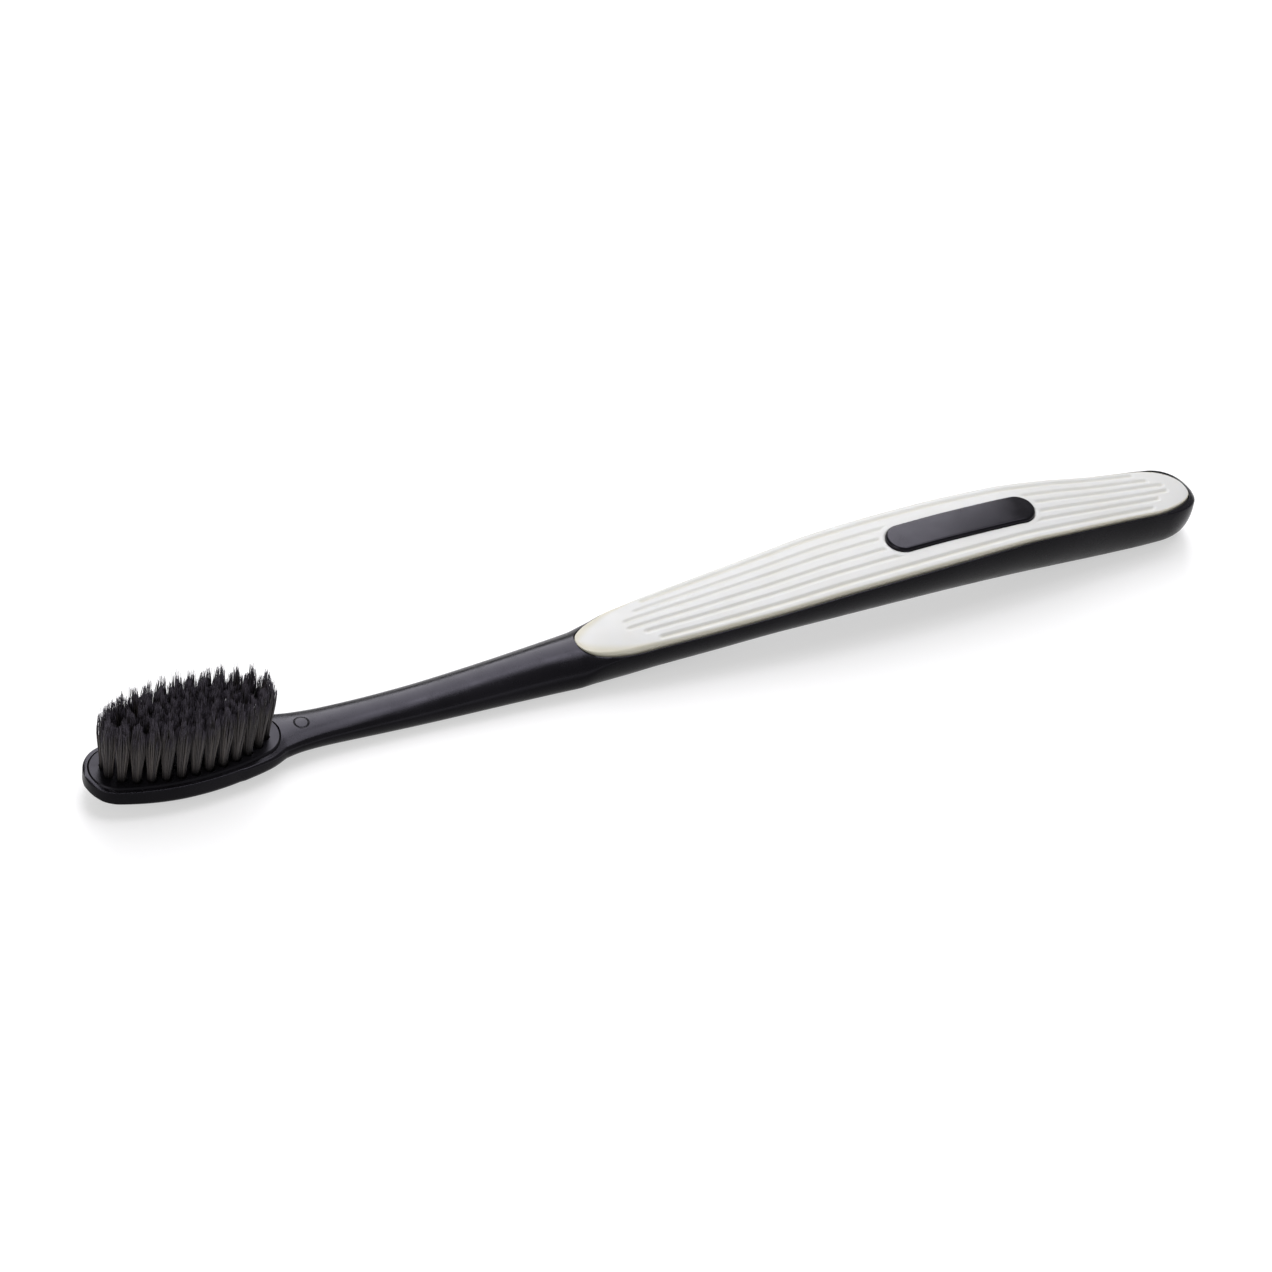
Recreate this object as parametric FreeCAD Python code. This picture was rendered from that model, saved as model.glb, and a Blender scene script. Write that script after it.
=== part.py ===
import FreeCAD, Part
import os
from math import atan2, cos, floor, hypot, pi, radians, sin, sqrt, tan

# Manual toothbrush lying on its back, bristles up. The head's toe points along -X and the tail along +X.
# Millimetres throughout. Z is 0 where the back of the handle rests.

# Lengths along the brush
head_length = 32.4
neck_length = 48.4
grip_length = 109.2
tail_round_length = 6.5
overall_length = head_length + neck_length + grip_length

# Handle widths and heights
head_width = 13.9
head_thickness = 4.6
rim_height = 5.5
neck_width = 5.7
grip_width = 15.2
shoulder_height = 7.9
crest_rise = 5.7
arch_rise = 2.3
tail_back_lift = 3.2
tail_crown_fall = 1.6
rest_flat_depth = 0.35
end_half_width = 0.5
head_back_radius = 2.9
head_rim_chamfer = 0.2
root_inset = 0.02

# Head plate, the cavity behind it and the bristles
plate_length = 30.8
plate_width = 12.4
plate_end_radius = 4.7
plate_thickness = 1.8
plate_clearance = 0.06
plate_edge_chamfer = 0.25
ledge_width = 0.5
cavity_depth = 0.8
backing_thickness = 0.5
backing_clearance = 0.15
backing_lift = 0.05
hole_diameter = 1.66
tuft_clearance = 0.03
tuft_pitch = 2.27
tuft_row_pitch = 2.35
tuft_free_height = 12.4
tuft_belly_diameter = 1.9
tuft_tip_diameter = 0.6
tuft_side_margin = 1.35
tuft_end_margin = 2.35
tuft_splay_degrees = 2.0
tuft_belly_share = 0.45
tuft_spacing_share = 0.92
tuft_sides = 6

# Grip overmould
grip_tip_gap = 0.3
grip_tail_inset = 1.1
grip_side_ledge = 0.45
grip_depth = 2.0
grip_shoulder_drop = 1.2
grip_end_rise = 0.3
bow_length = 8.0
stern_length = 9.0
run_in_setback = 1.0
run_in_length = 10.0
bond_gap = 0.02
groove_width = 0.95
groove_depth = 0.45
groove_tip_setback = 8.3
groove_tail_setback = 3.9

# Label island on the core and the mould mark on the neck
island_length = 26.0
island_width = 5.8
island_rise = 0.55
island_edge_radius = 0.45
island_gap = 0.05
island_halo_width = 1.05
island_from_tail = 42.6
island_root = 1.0
mark_diameter = 2.5
mark_groove_width = 0.28
mark_depth = 0.12
mark_from_head = 2.9

overrun = 5.0

# How each zone of the handle changes along its length. The first column is the share of the zone's length.
neck_half_width_shares = (
    (-0.19, 1.95), (-0.11, 1.82), (-0.05, 1.6), (0.0, 1.4), (0.06, 1.24), (0.14, 1.14), (0.26, 1.12),
    (0.45, 1.18), (0.62, 1.28), (0.78, 1.39), (0.9, 1.5), (1.0, 1.62),
)
grip_half_width_shares = (
    (0.0, 0.6075), (0.04, 0.655), (0.08, 0.705), (0.13, 0.76), (0.2, 0.825), (0.3, 0.91), (0.4, 0.975),
    (0.48, 0.99), (0.57, 0.98), (0.66, 0.94), (0.76, 0.87), (0.86, 0.755), (0.94, 0.7), (1.0, 0.67),
)
neck_top_shares = (
    (-0.19, 0.0), (0.0, 0.0), (0.2, -0.07), (0.4, 0.02), (0.6, 0.29), (0.8, 0.68), (0.92, 0.9), (1.0, 1.0),
)
neck_bottom_shares = ((-0.19, 1.0), (0.0, 1.0), (0.15, 0.62), (0.35, 0.16), (0.55, 0.0), (1.0, 0.0))
grip_top_shares = (
    (0.0, 0.0), (0.02, 0.085), (0.04, 0.155), (0.1, 0.246), (0.2, 0.404), (0.3, 0.592), (0.4, 0.815),
    (0.5, 0.932), (0.6, 0.989), (0.68, 0.977), (0.76, 0.842), (0.84, 0.637), (0.92, 0.451), (1.0, 0.289),
)
grip_bottom_shares = (
    (0.0, 0.0), (0.04, 0.0), (0.12, 0.34), (0.2, 0.6), (0.32, 0.95), (0.44, 1.0), (0.56, 0.95), (0.66, 0.78),
    (0.76, 0.5), (0.86, 0.16), (0.92, 0.06), (1.0, 0.06),
)
ledge_drop_shares = (
    (0.0, 1.1), (0.06, 1.1), (0.15, 0.97), (0.3, 0.85), (0.55, 0.8), (0.66, 0.62), (0.75, 0.5), (0.85, 0.42),
    (0.93, 0.34), (1.0, 0.28),
)
widest_level_shares = (
    (-1.0, 0.6), (-0.46, 0.62), (-0.36, 0.66), (-0.2, 0.6), (-0.05, 0.56), (0.0, 0.57), (0.03, 0.72),
    (0.07, 0.9), (0.12, 0.94), (1.0, 0.94),
)
groove_offset_shares = (0.165, 0.46, 0.79)
groove_setback_shares = (0.0, 0.15, 0.27)
bow_power_share = 2.0
stern_power_share = 2.2

# How many straight spans each zone is lofted in
neck_span_count = 10
run_in_span_count = 6
grip_span_count = 12
end_span_count = 5
slab_span_count = 4
groove_span_count = 8
ring_sample_count = 720

# Places worked out from the sizes above
toe_x = -overall_length / 2
head_end_x = toe_x + head_length
neck_end_x = head_end_x + neck_length
tail_x = toe_x + overall_length
head_back_z = rim_height - head_thickness
rim_width = (head_width - plate_width) / 2
plate_centre_x = toe_x + rim_width + plate_length / 2
plate_seat_z = rim_height - plate_thickness
cavity_floor_z = plate_seat_z - cavity_depth
backing_top_z = plate_seat_z - backing_lift
root_x = head_end_x + neck_length * neck_half_width_shares[0][0]
grip_start_x = neck_end_x + grip_tip_gap
grip_end_x = tail_x - grip_tail_inset
island_x = tail_x - island_from_tail
mark_x = head_end_x + mark_from_head


def along(table, share):
    """Smooth monotone curve through a table of shares."""
    last = len(table) - 1
    span = 0
    while span < last - 1 and share > table[span + 1][0]:
        span += 1
    slopes = []
    for knot in (span, span + 1):
        before_knot = max(knot - 1, 0)
        after_knot = min(knot + 1, last)
        before = slope_between(table, before_knot, max(knot, before_knot + 1))
        after = slope_between(table, min(knot, after_knot - 1), after_knot)
        slopes.append(0 if before * after <= 0 else 2 * before * after / (before + after))
    x0, y0 = table[span]
    x1, y1 = table[span + 1]
    width = x1 - x0
    t = (share - x0) / width
    start_part = (1 + 2 * t) * (1 - t) ** 2 * y0 + t * (1 - t) ** 2 * width * slopes[0]
    end_part = t * t * (3 - 2 * t) * y1 + t * t * (t - 1) * width * slopes[1]
    return start_part + end_part


def slope_between(table, first, second):
    """Straight slope between two rows of a table."""
    return (table[second][1] - table[first][1]) / (table[second][0] - table[first][0])


def clamp(share):
    """A share kept between none and all."""
    return min(1, max(0, share))


def neck_share(x):
    """Share of the neck's length at x, negative where its root lies inside the head."""
    return (x - head_end_x) / neck_length


def grip_share(x):
    """Share of the grip zone's length at x, negative on the neck."""
    return (x - neck_end_x) / grip_length


def round_end(distance, length, power):
    """Half width of a rounded end as a share, at a distance from its tip."""
    return sqrt(1 - (1 - clamp(distance / length)) ** power)


def half_width(x):
    """Half width of the neck and grip zones at x."""
    if x < neck_end_x:
        return neck_width / 2 * along(neck_half_width_shares, neck_share(x))
    body = grip_width / 2 * along(grip_half_width_shares, grip_share(x))
    return body * round_end(tail_x - x, tail_round_length, stern_power_share)


def tail_turn(x):
    """How far the side view has turned in at the tail, from none to all."""
    return 1 - round_end(tail_x - x, tail_round_length, bow_power_share)


def crown_height(x):
    """Highest line of the thumb side at x: the core on the neck, the overmould on the grip."""
    if x < neck_end_x:
        return rim_height + (shoulder_height - rim_height) * along(neck_top_shares, neck_share(x))
    rise = crest_rise * along(grip_top_shares, grip_share(x))
    return shoulder_height + rise - tail_crown_fall * tail_turn(x)


def back_height(x):
    """Height of the back at x before the resting flats are cut."""
    if x < neck_end_x:
        return (head_back_z + rest_flat_depth) * along(neck_bottom_shares, neck_share(x)) - rest_flat_depth
    arch = (arch_rise + rest_flat_depth) * along(grip_bottom_shares, grip_share(x)) - rest_flat_depth
    return arch + tail_back_lift * tail_turn(x)


def ledge_height(x):
    """Peak of the core's section at x: the crown on the neck, running in to the grip's ledge."""
    run_in = clamp((x - neck_end_x - run_in_setback) / run_in_length)
    drop = grip_shoulder_drop * along(ledge_drop_shares, clamp(grip_share(x)))
    return crown_height(x) - drop * run_in * run_in * (3 - 2 * run_in)


def widest_height(x):
    """Height at which the core's section is widest."""
    low = back_height(x)
    return low + (ledge_height(x) - low) * along(widest_level_shares, grip_share(x))


def oval_radii(half, rise):
    """Radii of the side arcs and the middle arc that make a tangent half oval of this half width and rise."""
    span = hypot(half, rise)
    rest = half + rise - span
    return span * (span - half) / rest, span * (span - rise) / rest


def oval_arcs(x, half, level, peak):
    """Half oval across X in three tangent arcs, from its side at half over its peak to its side at -half."""
    rise = abs(peak - level)
    way = (peak - level) / rise
    side_radius = oval_radii(abs(half), rise)[0]
    side = half / abs(half)
    span = hypot(half, rise)
    centre_y = abs(half) - side_radius
    turn = atan2(abs(half) / span, rise / span)
    joint_y = centre_y + side_radius * cos(turn)
    joint_z = level + way * side_radius * sin(turn)
    middle_y = centre_y + side_radius * cos(turn / 2)
    middle_z = level + way * side_radius * sin(turn / 2)
    start = FreeCAD.Vector(x, side * abs(half), level)
    end = FreeCAD.Vector(x, -side * abs(half), level)
    joint = FreeCAD.Vector(x, side * joint_y, joint_z)
    far_joint = FreeCAD.Vector(x, -side * joint_y, joint_z)
    return [
        Part.Arc(start, FreeCAD.Vector(x, side * middle_y, middle_z), joint).toShape(),
        Part.Arc(joint, FreeCAD.Vector(x, 0, peak), far_joint).toShape(),
        Part.Arc(far_joint, FreeCAD.Vector(x, -side * middle_y, middle_z), end).toShape(),
    ]


def oval_height(half, rise, y):
    """Height of a half oval above its sides, at a distance from its middle."""
    side_radius, middle_radius = oval_radii(half, rise)
    if y < half - side_radius * (1 - rise / hypot(half, rise)):
        return rise - middle_radius + sqrt(middle_radius ** 2 - y ** 2)
    return sqrt(max(0, side_radius ** 2 - (y - half + side_radius) ** 2))


def core_section(x):
    """Section of the core at x: a full oval whose widest level moves up from the neck to the grip's ledge."""
    half = max(half_width(x), end_half_width)
    inset = root_inset if x < head_end_x else 0
    upper = oval_arcs(x, half, widest_height(x), ledge_height(x) - inset)
    return Part.Wire(upper + oval_arcs(x, -half, widest_height(x), back_height(x) + inset))


def even_stations(start, end, spans):
    """Evenly spaced places along X from the start up to, not including, the end."""
    return [start + (end - start) * span / spans for span in range(spans)]


def end_stations(tip, length, spans):
    """Places along X that close up towards a rounded tip, from its own root to the tip."""
    return [tip - length * (1 - sin(pi / 2 * span / spans)) for span in range(spans + 1)]


def core_stations():
    """Places along X where the core's section is drawn."""
    run_end_x = neck_end_x + run_in_setback + run_in_length
    tail_root_x = tail_x - tail_round_length
    neck = even_stations(root_x, neck_end_x, neck_span_count)
    run_in = even_stations(neck_end_x, run_end_x, run_in_span_count)
    body = even_stations(run_end_x, tail_root_x, grip_span_count)
    return neck + run_in + body + end_stations(tail_x, tail_round_length, end_span_count)


def hull():
    """Neck and grip zones of the core before pockets: a loft in straight spans, cut flat where it rests."""
    blank = Part.makeLoft([core_section(x) for x in core_stations()], True, True)
    floor_box = Part.makeBox(
        overall_length + 2 * overrun, grip_width + 2 * overrun, overrun,
        FreeCAD.Vector(toe_x - overrun, -grip_width / 2 - overrun, -overrun),
    )
    return blank.cut(floor_box)


def oval_wire(grow, z):
    """Oval in plan from four tangent arcs round the plate, moved outwards by grow on every side."""
    reach = plate_length / 2 - plate_end_radius
    half = plate_width / 2
    side_radius = (reach ** 2 + half ** 2 - plate_end_radius ** 2) / (2 * (half - plate_end_radius))
    offset = side_radius - half
    turn = atan2(offset, reach)
    centre = FreeCAD.Vector(plate_centre_x, 0, z)
    radius = plate_end_radius + grow
    corner_x = reach + radius * cos(turn)
    corner_y = radius * sin(turn)
    crest_y = half + grow
    nose_x = reach + radius
    corners = [
        centre + FreeCAD.Vector(corner_x, corner_y, 0), centre + FreeCAD.Vector(-corner_x, corner_y, 0),
        centre + FreeCAD.Vector(-corner_x, -corner_y, 0), centre + FreeCAD.Vector(corner_x, -corner_y, 0),
    ]
    middles = [
        centre + FreeCAD.Vector(0, crest_y, 0), centre + FreeCAD.Vector(-nose_x, 0, 0),
        centre + FreeCAD.Vector(0, -crest_y, 0), centre + FreeCAD.Vector(nose_x, 0, 0),
    ]
    edges = []
    for place in range(4):
        edges.append(Part.Arc(corners[place], middles[place], corners[(place + 1) % 4]).toShape())
    return Part.Wire(edges)


def oval_prism(grow, low, high):
    """Upright oval block between two heights."""
    return Part.Face(oval_wire(grow, low)).extrude(FreeCAD.Vector(0, 0, high - low))


def edges_at(shape, height):
    """Edges of a shape that lie at one height."""
    found = []
    for edge in shape.Edges:
        if abs(edge.BoundBox.ZMin - height) < bond_gap and abs(edge.BoundBox.ZMax - height) < bond_gap:
            found.append(edge)
    return found


def head_bowl():
    """Solid head before its pocket, with a rounded back and a small chamfer on the rim."""
    bowl = oval_prism(rim_width, head_back_z, rim_height)
    bowl = bowl.makeFillet(head_back_radius, edges_at(bowl, head_back_z))
    return bowl.makeChamfer(head_rim_chamfer, edges_at(bowl, rim_height))


def ring_places():
    """Centres of the outer ring of tufts, evenly spaced on an ellipse, with the toe between two of them."""
    reach_x = plate_length / 2 - tuft_end_margin
    reach_y = plate_width / 2 - tuft_side_margin
    points = []
    for sample in range(ring_sample_count + 1):
        angle = pi + 2 * pi * sample / ring_sample_count
        points.append((reach_x * cos(angle), reach_y * sin(angle)))
    steps = [hypot(b[0] - a[0], b[1] - a[1]) for a, b in zip(points, points[1:])]
    count = floor(sum(steps) / tuft_pitch)
    spacing = sum(steps) / count
    places = []
    travelled = 0
    for point, step in zip(points, steps):
        if travelled >= spacing * (len(places) + 0.5) - step / 2 and len(places) < count:
            places.append(point)
        travelled += step
    return places


def row_places(ring):
    """Centres of the staggered straight rows inside the ring, kept clear of the ring's tufts."""
    places = []
    rows = floor((plate_width / 2 - tuft_side_margin) / tuft_row_pitch) - 1
    columns = floor(plate_length / 2 / tuft_pitch)
    clear = tuft_pitch * tuft_spacing_share
    for row in range(-rows, rows + 1):
        shift = tuft_pitch / 2 if row % 2 else 0
        for column in range(-columns, columns + 1):
            x = column * tuft_pitch + shift
            y = row * tuft_row_pitch
            inside = hypot(x / (plate_length / 2), y / (plate_width / 2)) < tuft_spacing_share
            if inside and all(hypot(x - ring_x, y - ring_y) >= clear for ring_x, ring_y in ring):
                places.append((x, y))
    return places


def tuft_places():
    """Centres of all the tufts on the plate."""
    ring = ring_places()
    return [(plate_centre_x + x, y) for x, y in ring + row_places(ring)]


def bundle_ring(x, y, z, radius):
    """Regular polygon of corners round a point."""
    corners = []
    for side in range(tuft_sides):
        angle = 2 * pi * (side + 0.5) / tuft_sides
        corners.append(FreeCAD.Vector(x + radius * cos(angle), y + radius * sin(angle), z))
    return corners


def closed_face(corners):
    """Flat face through its corners."""
    return Part.Face(Part.makePolygon(corners + corners[:1]))


def bundle(rings):
    """Closed solid through rings of corners, from the lowest to the highest."""
    faces = [closed_face(rings[0]), closed_face(rings[-1])]
    for lower, upper in zip(rings, rings[1:]):
        for side in range(tuft_sides):
            after = (side + 1) % tuft_sides
            faces.append(closed_face([lower[side], lower[after], upper[after], upper[side]]))
    return Part.makeSolid(Part.makeShell(faces))


def head_plate():
    """Carrier plate with one hole for each tuft and a small chamfer round its top."""
    plate = oval_prism(0, plate_seat_z, rim_height)
    plate = plate.makeChamfer(plate_edge_chamfer, edges_at(plate, rim_height))
    holes = []
    for x, y in tuft_places():
        low = bundle_ring(x, y, plate_seat_z - overrun, hole_diameter / 2)
        high = bundle_ring(x, y, rim_height + overrun, hole_diameter / 2)
        holes.append(bundle([low, high]))
    return plate.cut(Part.makeCompound(holes))


def head_pocket():
    """Space cut from the head: the plate's seat and the cavity below it."""
    seat = oval_prism(plate_clearance, plate_seat_z, rim_height + overrun)
    return seat.fuse(oval_prism(plate_clearance - ledge_width, cavity_floor_z, rim_height))


def tuft_backing():
    """Layer of melted filament ends that closes the tufts behind the plate."""
    inset = ledge_width - plate_clearance + backing_clearance
    return oval_prism(-inset, backing_top_z - backing_thickness, backing_top_z)


def tuft(x, y):
    """One bundle of filaments: a shank in its hole, then a free part that bellies, tapers and splays."""
    shank = hole_diameter / 2 - tuft_clearance
    splay = tan(radians(tuft_splay_degrees))
    slope_x = splay * (x - plate_centre_x) / (plate_length / 2)
    slope_y = splay * y / (plate_width / 2)
    belly = (tuft_free_height * tuft_belly_share, tuft_belly_diameter / 2)
    tip = (tuft_free_height, tuft_tip_diameter / 2)
    rings = [bundle_ring(x, y, backing_top_z, shank), bundle_ring(x, y, rim_height, shank)]
    for rise, radius in (belly, tip):
        rings.append(bundle_ring(x + slope_x * rise, y + slope_y * rise, rim_height + rise, radius))
    return bundle(rings)


def grip_half_width(x):
    """Half width of the overmould: the core's less its ledge, with a blunt bow and a long round stern."""
    inner = grip_width / 2 * along(grip_half_width_shares, grip_share(x)) - grip_side_ledge
    bow = round_end(x - grip_start_x, bow_length, bow_power_share)
    stern = round_end(grip_end_x - x, stern_length, stern_power_share)
    return max(inner * bow * stern, end_half_width / 2)


def seam_height(x):
    """Height at which the overmould's side meets the core: the core's own at the overmould's outline."""
    half = max(half_width(x), end_half_width)
    level = widest_height(x)
    return level + oval_height(half, ledge_height(x) - level, min(half, grip_half_width(x)))


def grip_rise(x):
    """Height of the crown above the seam, never less than the thin edge at the bow's tip."""
    return max(crown_height(x) - seam_height(x), grip_end_rise)


def grip_top_height(x, y):
    """Height of the crowned top at a distance from the middle line."""
    return seam_height(x) + oval_height(grip_half_width(x), grip_rise(x), y)


def grip_section(x, grow, lift):
    """Section of the overmould: flat underside, upright sides in the core, crown with round shoulders."""
    half = grip_half_width(x) + grow
    seam = seam_height(x)
    low = seam - grip_depth - grow
    foot_right = FreeCAD.Vector(x, half, low)
    foot_left = FreeCAD.Vector(x, -half, low)
    right = FreeCAD.Vector(x, half, seam + lift)
    left = FreeCAD.Vector(x, -half, seam + lift)
    crown = oval_arcs(x, half, seam + lift, seam + grip_rise(x) + lift)
    sides = [
        Part.LineSegment(left, foot_left).toShape(), Part.LineSegment(foot_left, foot_right).toShape(),
        Part.LineSegment(foot_right, right).toShape(),
    ]
    return Part.Wire(crown + sides)


def grip_stations():
    """Places along X where the overmould's section is drawn, from its bow to its stern."""
    bow_root_x = grip_start_x + bow_length
    stern_root_x = grip_end_x - stern_length
    bow = [2 * grip_start_x - x for x in reversed(end_stations(grip_start_x, bow_length, end_span_count))]
    body = even_stations(bow_root_x, stern_root_x, grip_span_count)
    return bow[:-1] + body + end_stations(grip_end_x, stern_length, end_span_count)


def grip_blank(grow=0.0, lift=0.0):
    """Overmould without grooves or window, moved outwards by grow at its sides and ends."""
    stations = grip_stations()
    wires = []
    for x in stations:
        stretched = x - grow if x == stations[0] else x + grow if x == stations[-1] else x
        section = grip_section(x, grow, lift)
        section.translate(FreeCAD.Vector(stretched - x, 0, 0))
        wires.append(section)
    return Part.makeLoft(wires, True, True)


def stadium(grow, low, high):
    """Upright block with round ends round the island, moved outwards by grow on every side."""
    radius = island_width / 2 + grow
    reach = island_length / 2 - island_width / 2
    centre = FreeCAD.Vector(island_x, 0, low)
    corners = [
        centre + FreeCAD.Vector(-reach, -radius, 0), centre + FreeCAD.Vector(reach, -radius, 0),
        centre + FreeCAD.Vector(reach, radius, 0), centre + FreeCAD.Vector(-reach, radius, 0),
    ]
    edges = [
        Part.LineSegment(corners[0], corners[1]).toShape(),
        Part.Arc(corners[1], centre + FreeCAD.Vector(reach + radius, 0, 0), corners[2]).toShape(),
        Part.LineSegment(corners[2], corners[3]).toShape(),
        Part.Arc(corners[3], centre - FreeCAD.Vector(reach + radius, 0, 0), corners[0]).toShape(),
    ]
    return Part.Face(Part.Wire(edges)).extrude(FreeCAD.Vector(0, 0, high - low))


def groove_cutter(offset_share, side, start_x, end_x):
    """Bar that follows the crowned top at a share of the half width, sunk by the groove's depth."""
    wires = []
    half = groove_width / 2
    for x in even_stations(start_x, end_x, groove_span_count) + [end_x]:
        offset = offset_share * grip_half_width(x)
        z = grip_top_height(x, offset) - groove_depth
        y = side * offset
        corners = [
            FreeCAD.Vector(x, y - half, z), FreeCAD.Vector(x, y + half, z),
            FreeCAD.Vector(x, y + half, z + overrun), FreeCAD.Vector(x, y - half, z + overrun),
        ]
        wires.append(Part.makePolygon(corners + corners[:1]))
    return Part.makeLoft(wires, True, True)


def grip():
    """Overmould with its six grooves and the window round the island."""
    body = grip_blank()
    low = seam_height(island_x) - grip_depth - overrun
    high = crown_height(island_x) + overrun
    halo = stadium(island_halo_width, low, high)
    for offset_share, setback_share in zip(groove_offset_shares, groove_setback_shares):
        setback = grip_width * setback_share
        start_x = grip_start_x + groove_tip_setback + setback
        end_x = grip_end_x - groove_tail_setback - setback
        for side in (-1, 1):
            body = body.cut(groove_cutter(offset_share, side, start_x, end_x).cut(halo))
    return body.cut(stadium(island_gap, low, high))


def island_slab(low):
    """Block whose top keeps the grip's crown, raised by the island's rise, with one arc per section."""
    reach = island_length / 2 + island_edge_radius
    side = island_width / 2 + island_edge_radius
    wires = []
    for x in even_stations(island_x - reach, island_x + reach, slab_span_count) + [island_x + reach]:
        ridge = crown_height(x) + island_rise
        edge_height = grip_top_height(x, side) + island_rise
        right = FreeCAD.Vector(x, side, edge_height)
        left = FreeCAD.Vector(x, -side, edge_height)
        foot_right = FreeCAD.Vector(x, side, low)
        foot_left = FreeCAD.Vector(x, -side, low)
        edges = [
            Part.LineSegment(foot_left, left).toShape(),
            Part.Arc(left, FreeCAD.Vector(x, 0, ridge), right).toShape(),
            Part.LineSegment(right, foot_right).toShape(),
            Part.LineSegment(foot_right, foot_left).toShape(),
        ]
        wires.append(Part.Wire(edges))
    return Part.makeLoft(wires, True, False)


def island():
    """Raised label island, left bare, with a round upper edge."""
    low = seam_height(island_x) - grip_depth - island_root
    boss = stadium(0, low, crown_height(island_x) + overrun).common(island_slab(low))
    top_edges = [edge for edge in boss.Edges if edge.BoundBox.ZMin > crown_height(island_x) - grip_depth]
    return boss.makeFillet(island_edge_radius, top_edges)


def mould_mark():
    """Shallow ring left by the mould on the neck."""
    base = FreeCAD.Vector(mark_x, 0, crown_height(mark_x) - mark_depth)
    outer = Part.makeCylinder(mark_diameter / 2, overrun, base)
    return outer.cut(Part.makeCylinder(mark_diameter / 2 - mark_groove_width, overrun, base))


def handle_core():
    """Black core: head bowl, neck and hull in one moulding, with the island and the pockets."""
    core = hull().fuse(head_bowl()).cut(head_pocket())
    core = core.cut(grip_blank(bond_gap, overrun))
    return core.fuse(island()).cut(mould_mark())


def write(name, shape):
    """Save one node."""
    shape.exportStep("parts/" + name + ".step")
    print(name, "solids", len(shape.Solids), "volume", round(shape.Volume, 2), "valid", shape.isValid())


def main():
    os.makedirs("parts", exist_ok=True)
    write("handle_core", handle_core())
    write("grip", grip())
    write("head_plate", head_plate())
    write("tuft_backing", tuft_backing())
    for number, (x, y) in enumerate(tuft_places(), 1):
        write("tuft_%02d" % number, tuft(x, y))


main()
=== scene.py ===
"""A manual toothbrush lying on its back: black handle, off-white ribbed grip, charcoal tapered bristles.

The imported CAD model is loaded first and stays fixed. The pieces below are worked out in millimetres, in the
CAD model's frame (+X from the toe to the tail, +Z along the bristles), and written to the meshes in metres.
"""
import logging
from dataclasses import dataclass, field
from enum import Enum

import bmesh
import bpy
import numpy as np
from mathutils import Matrix, Vector


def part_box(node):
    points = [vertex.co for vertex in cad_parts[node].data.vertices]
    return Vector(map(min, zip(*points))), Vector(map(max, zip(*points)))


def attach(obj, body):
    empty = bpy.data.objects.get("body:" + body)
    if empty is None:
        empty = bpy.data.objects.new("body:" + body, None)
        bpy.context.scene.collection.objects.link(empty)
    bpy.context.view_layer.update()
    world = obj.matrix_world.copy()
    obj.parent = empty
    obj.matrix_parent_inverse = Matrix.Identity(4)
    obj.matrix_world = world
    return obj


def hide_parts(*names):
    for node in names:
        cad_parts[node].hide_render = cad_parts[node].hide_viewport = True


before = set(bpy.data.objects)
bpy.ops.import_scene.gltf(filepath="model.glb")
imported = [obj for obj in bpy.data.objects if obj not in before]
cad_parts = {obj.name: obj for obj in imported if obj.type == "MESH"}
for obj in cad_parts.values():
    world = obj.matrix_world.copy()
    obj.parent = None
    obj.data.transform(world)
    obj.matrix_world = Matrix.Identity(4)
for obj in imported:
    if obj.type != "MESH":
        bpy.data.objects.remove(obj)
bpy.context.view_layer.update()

MM = 0.001
MERGE_DISTANCE = 2e-7  # metres
FOLD_DISTANCE = 1e-8  # metres
LEAST_ARC = 1e-4  # millimetres, so that an oval closed at a tip still has radii
LEAST_HALF = 1e-3  # millimetres, so that a section closed at a tip still has a place on it
STATION_GAP = 0.02  # millimetres
LOG = logging.getLogger("toothbrush")
Colour = tuple[float, float, float, float]


class Slot(Enum):
    """Material slots of the record, one for each kind of finish of the new pieces."""

    CORE = "core_plastic"
    GRIP = "grip_rubber"
    BRISTLE = "bristles"


# Shapes shared by the pieces

@dataclass(frozen=True)
class ShareCurve:
    """A smooth monotone curve through rows of two shares.

    Between two rows it is the cubic Hermite curve whose slope at each row is the harmonic mean of the
    straight slopes on its two sides, or nothing where they differ in sign.
    """

    rows: tuple[tuple[float, float], ...]

    def at(self, share: np.ndarray) -> np.ndarray:
        """Evaluate the curve.

        Args:
            share: Places along the curve.

        Returns:
            The curve's value at each place.
        """
        places, values = np.array(self.rows).T
        widths = np.diff(places)
        slopes = np.diff(values) / widths
        product = slopes[:-1] * slopes[1:]
        total = np.where(product > 0, slopes[:-1] + slopes[1:], 1.0)
        knots = np.concatenate([slopes[:1], np.where(product > 0, 2 * product / total, 0.0), slopes[-1:]])
        span = np.clip(np.searchsorted(places, share, side="right") - 1, 0, len(widths) - 1)
        t = (share - places[span]) / widths[span]
        rise = (1 + 2 * t) * (1 - t) ** 2 * values[span] + t * t * (3 - 2 * t) * values[span + 1]
        lean = t * (1 - t) ** 2 * knots[span] + t * t * (t - 1) * knots[span + 1]
        return rise + lean * widths[span]


def ease(low: float | np.ndarray, high: float | np.ndarray, value: np.ndarray) -> np.ndarray:
    """Smooth step from 0 at low to 1 at high: t squared times three less two t."""
    t = np.clip((value - low) / (high - low), 0.0, 1.0)
    return t * t * (3 - 2 * t)


def round_end(distance: np.ndarray, length: float, power: float) -> np.ndarray:
    """Half width of a rounded end as a share: the root of one less the rest of the way to that power."""
    rest = 1 - np.clip(distance / length, 0.0, 1.0)
    return np.sqrt(1 - rest ** power)


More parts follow.
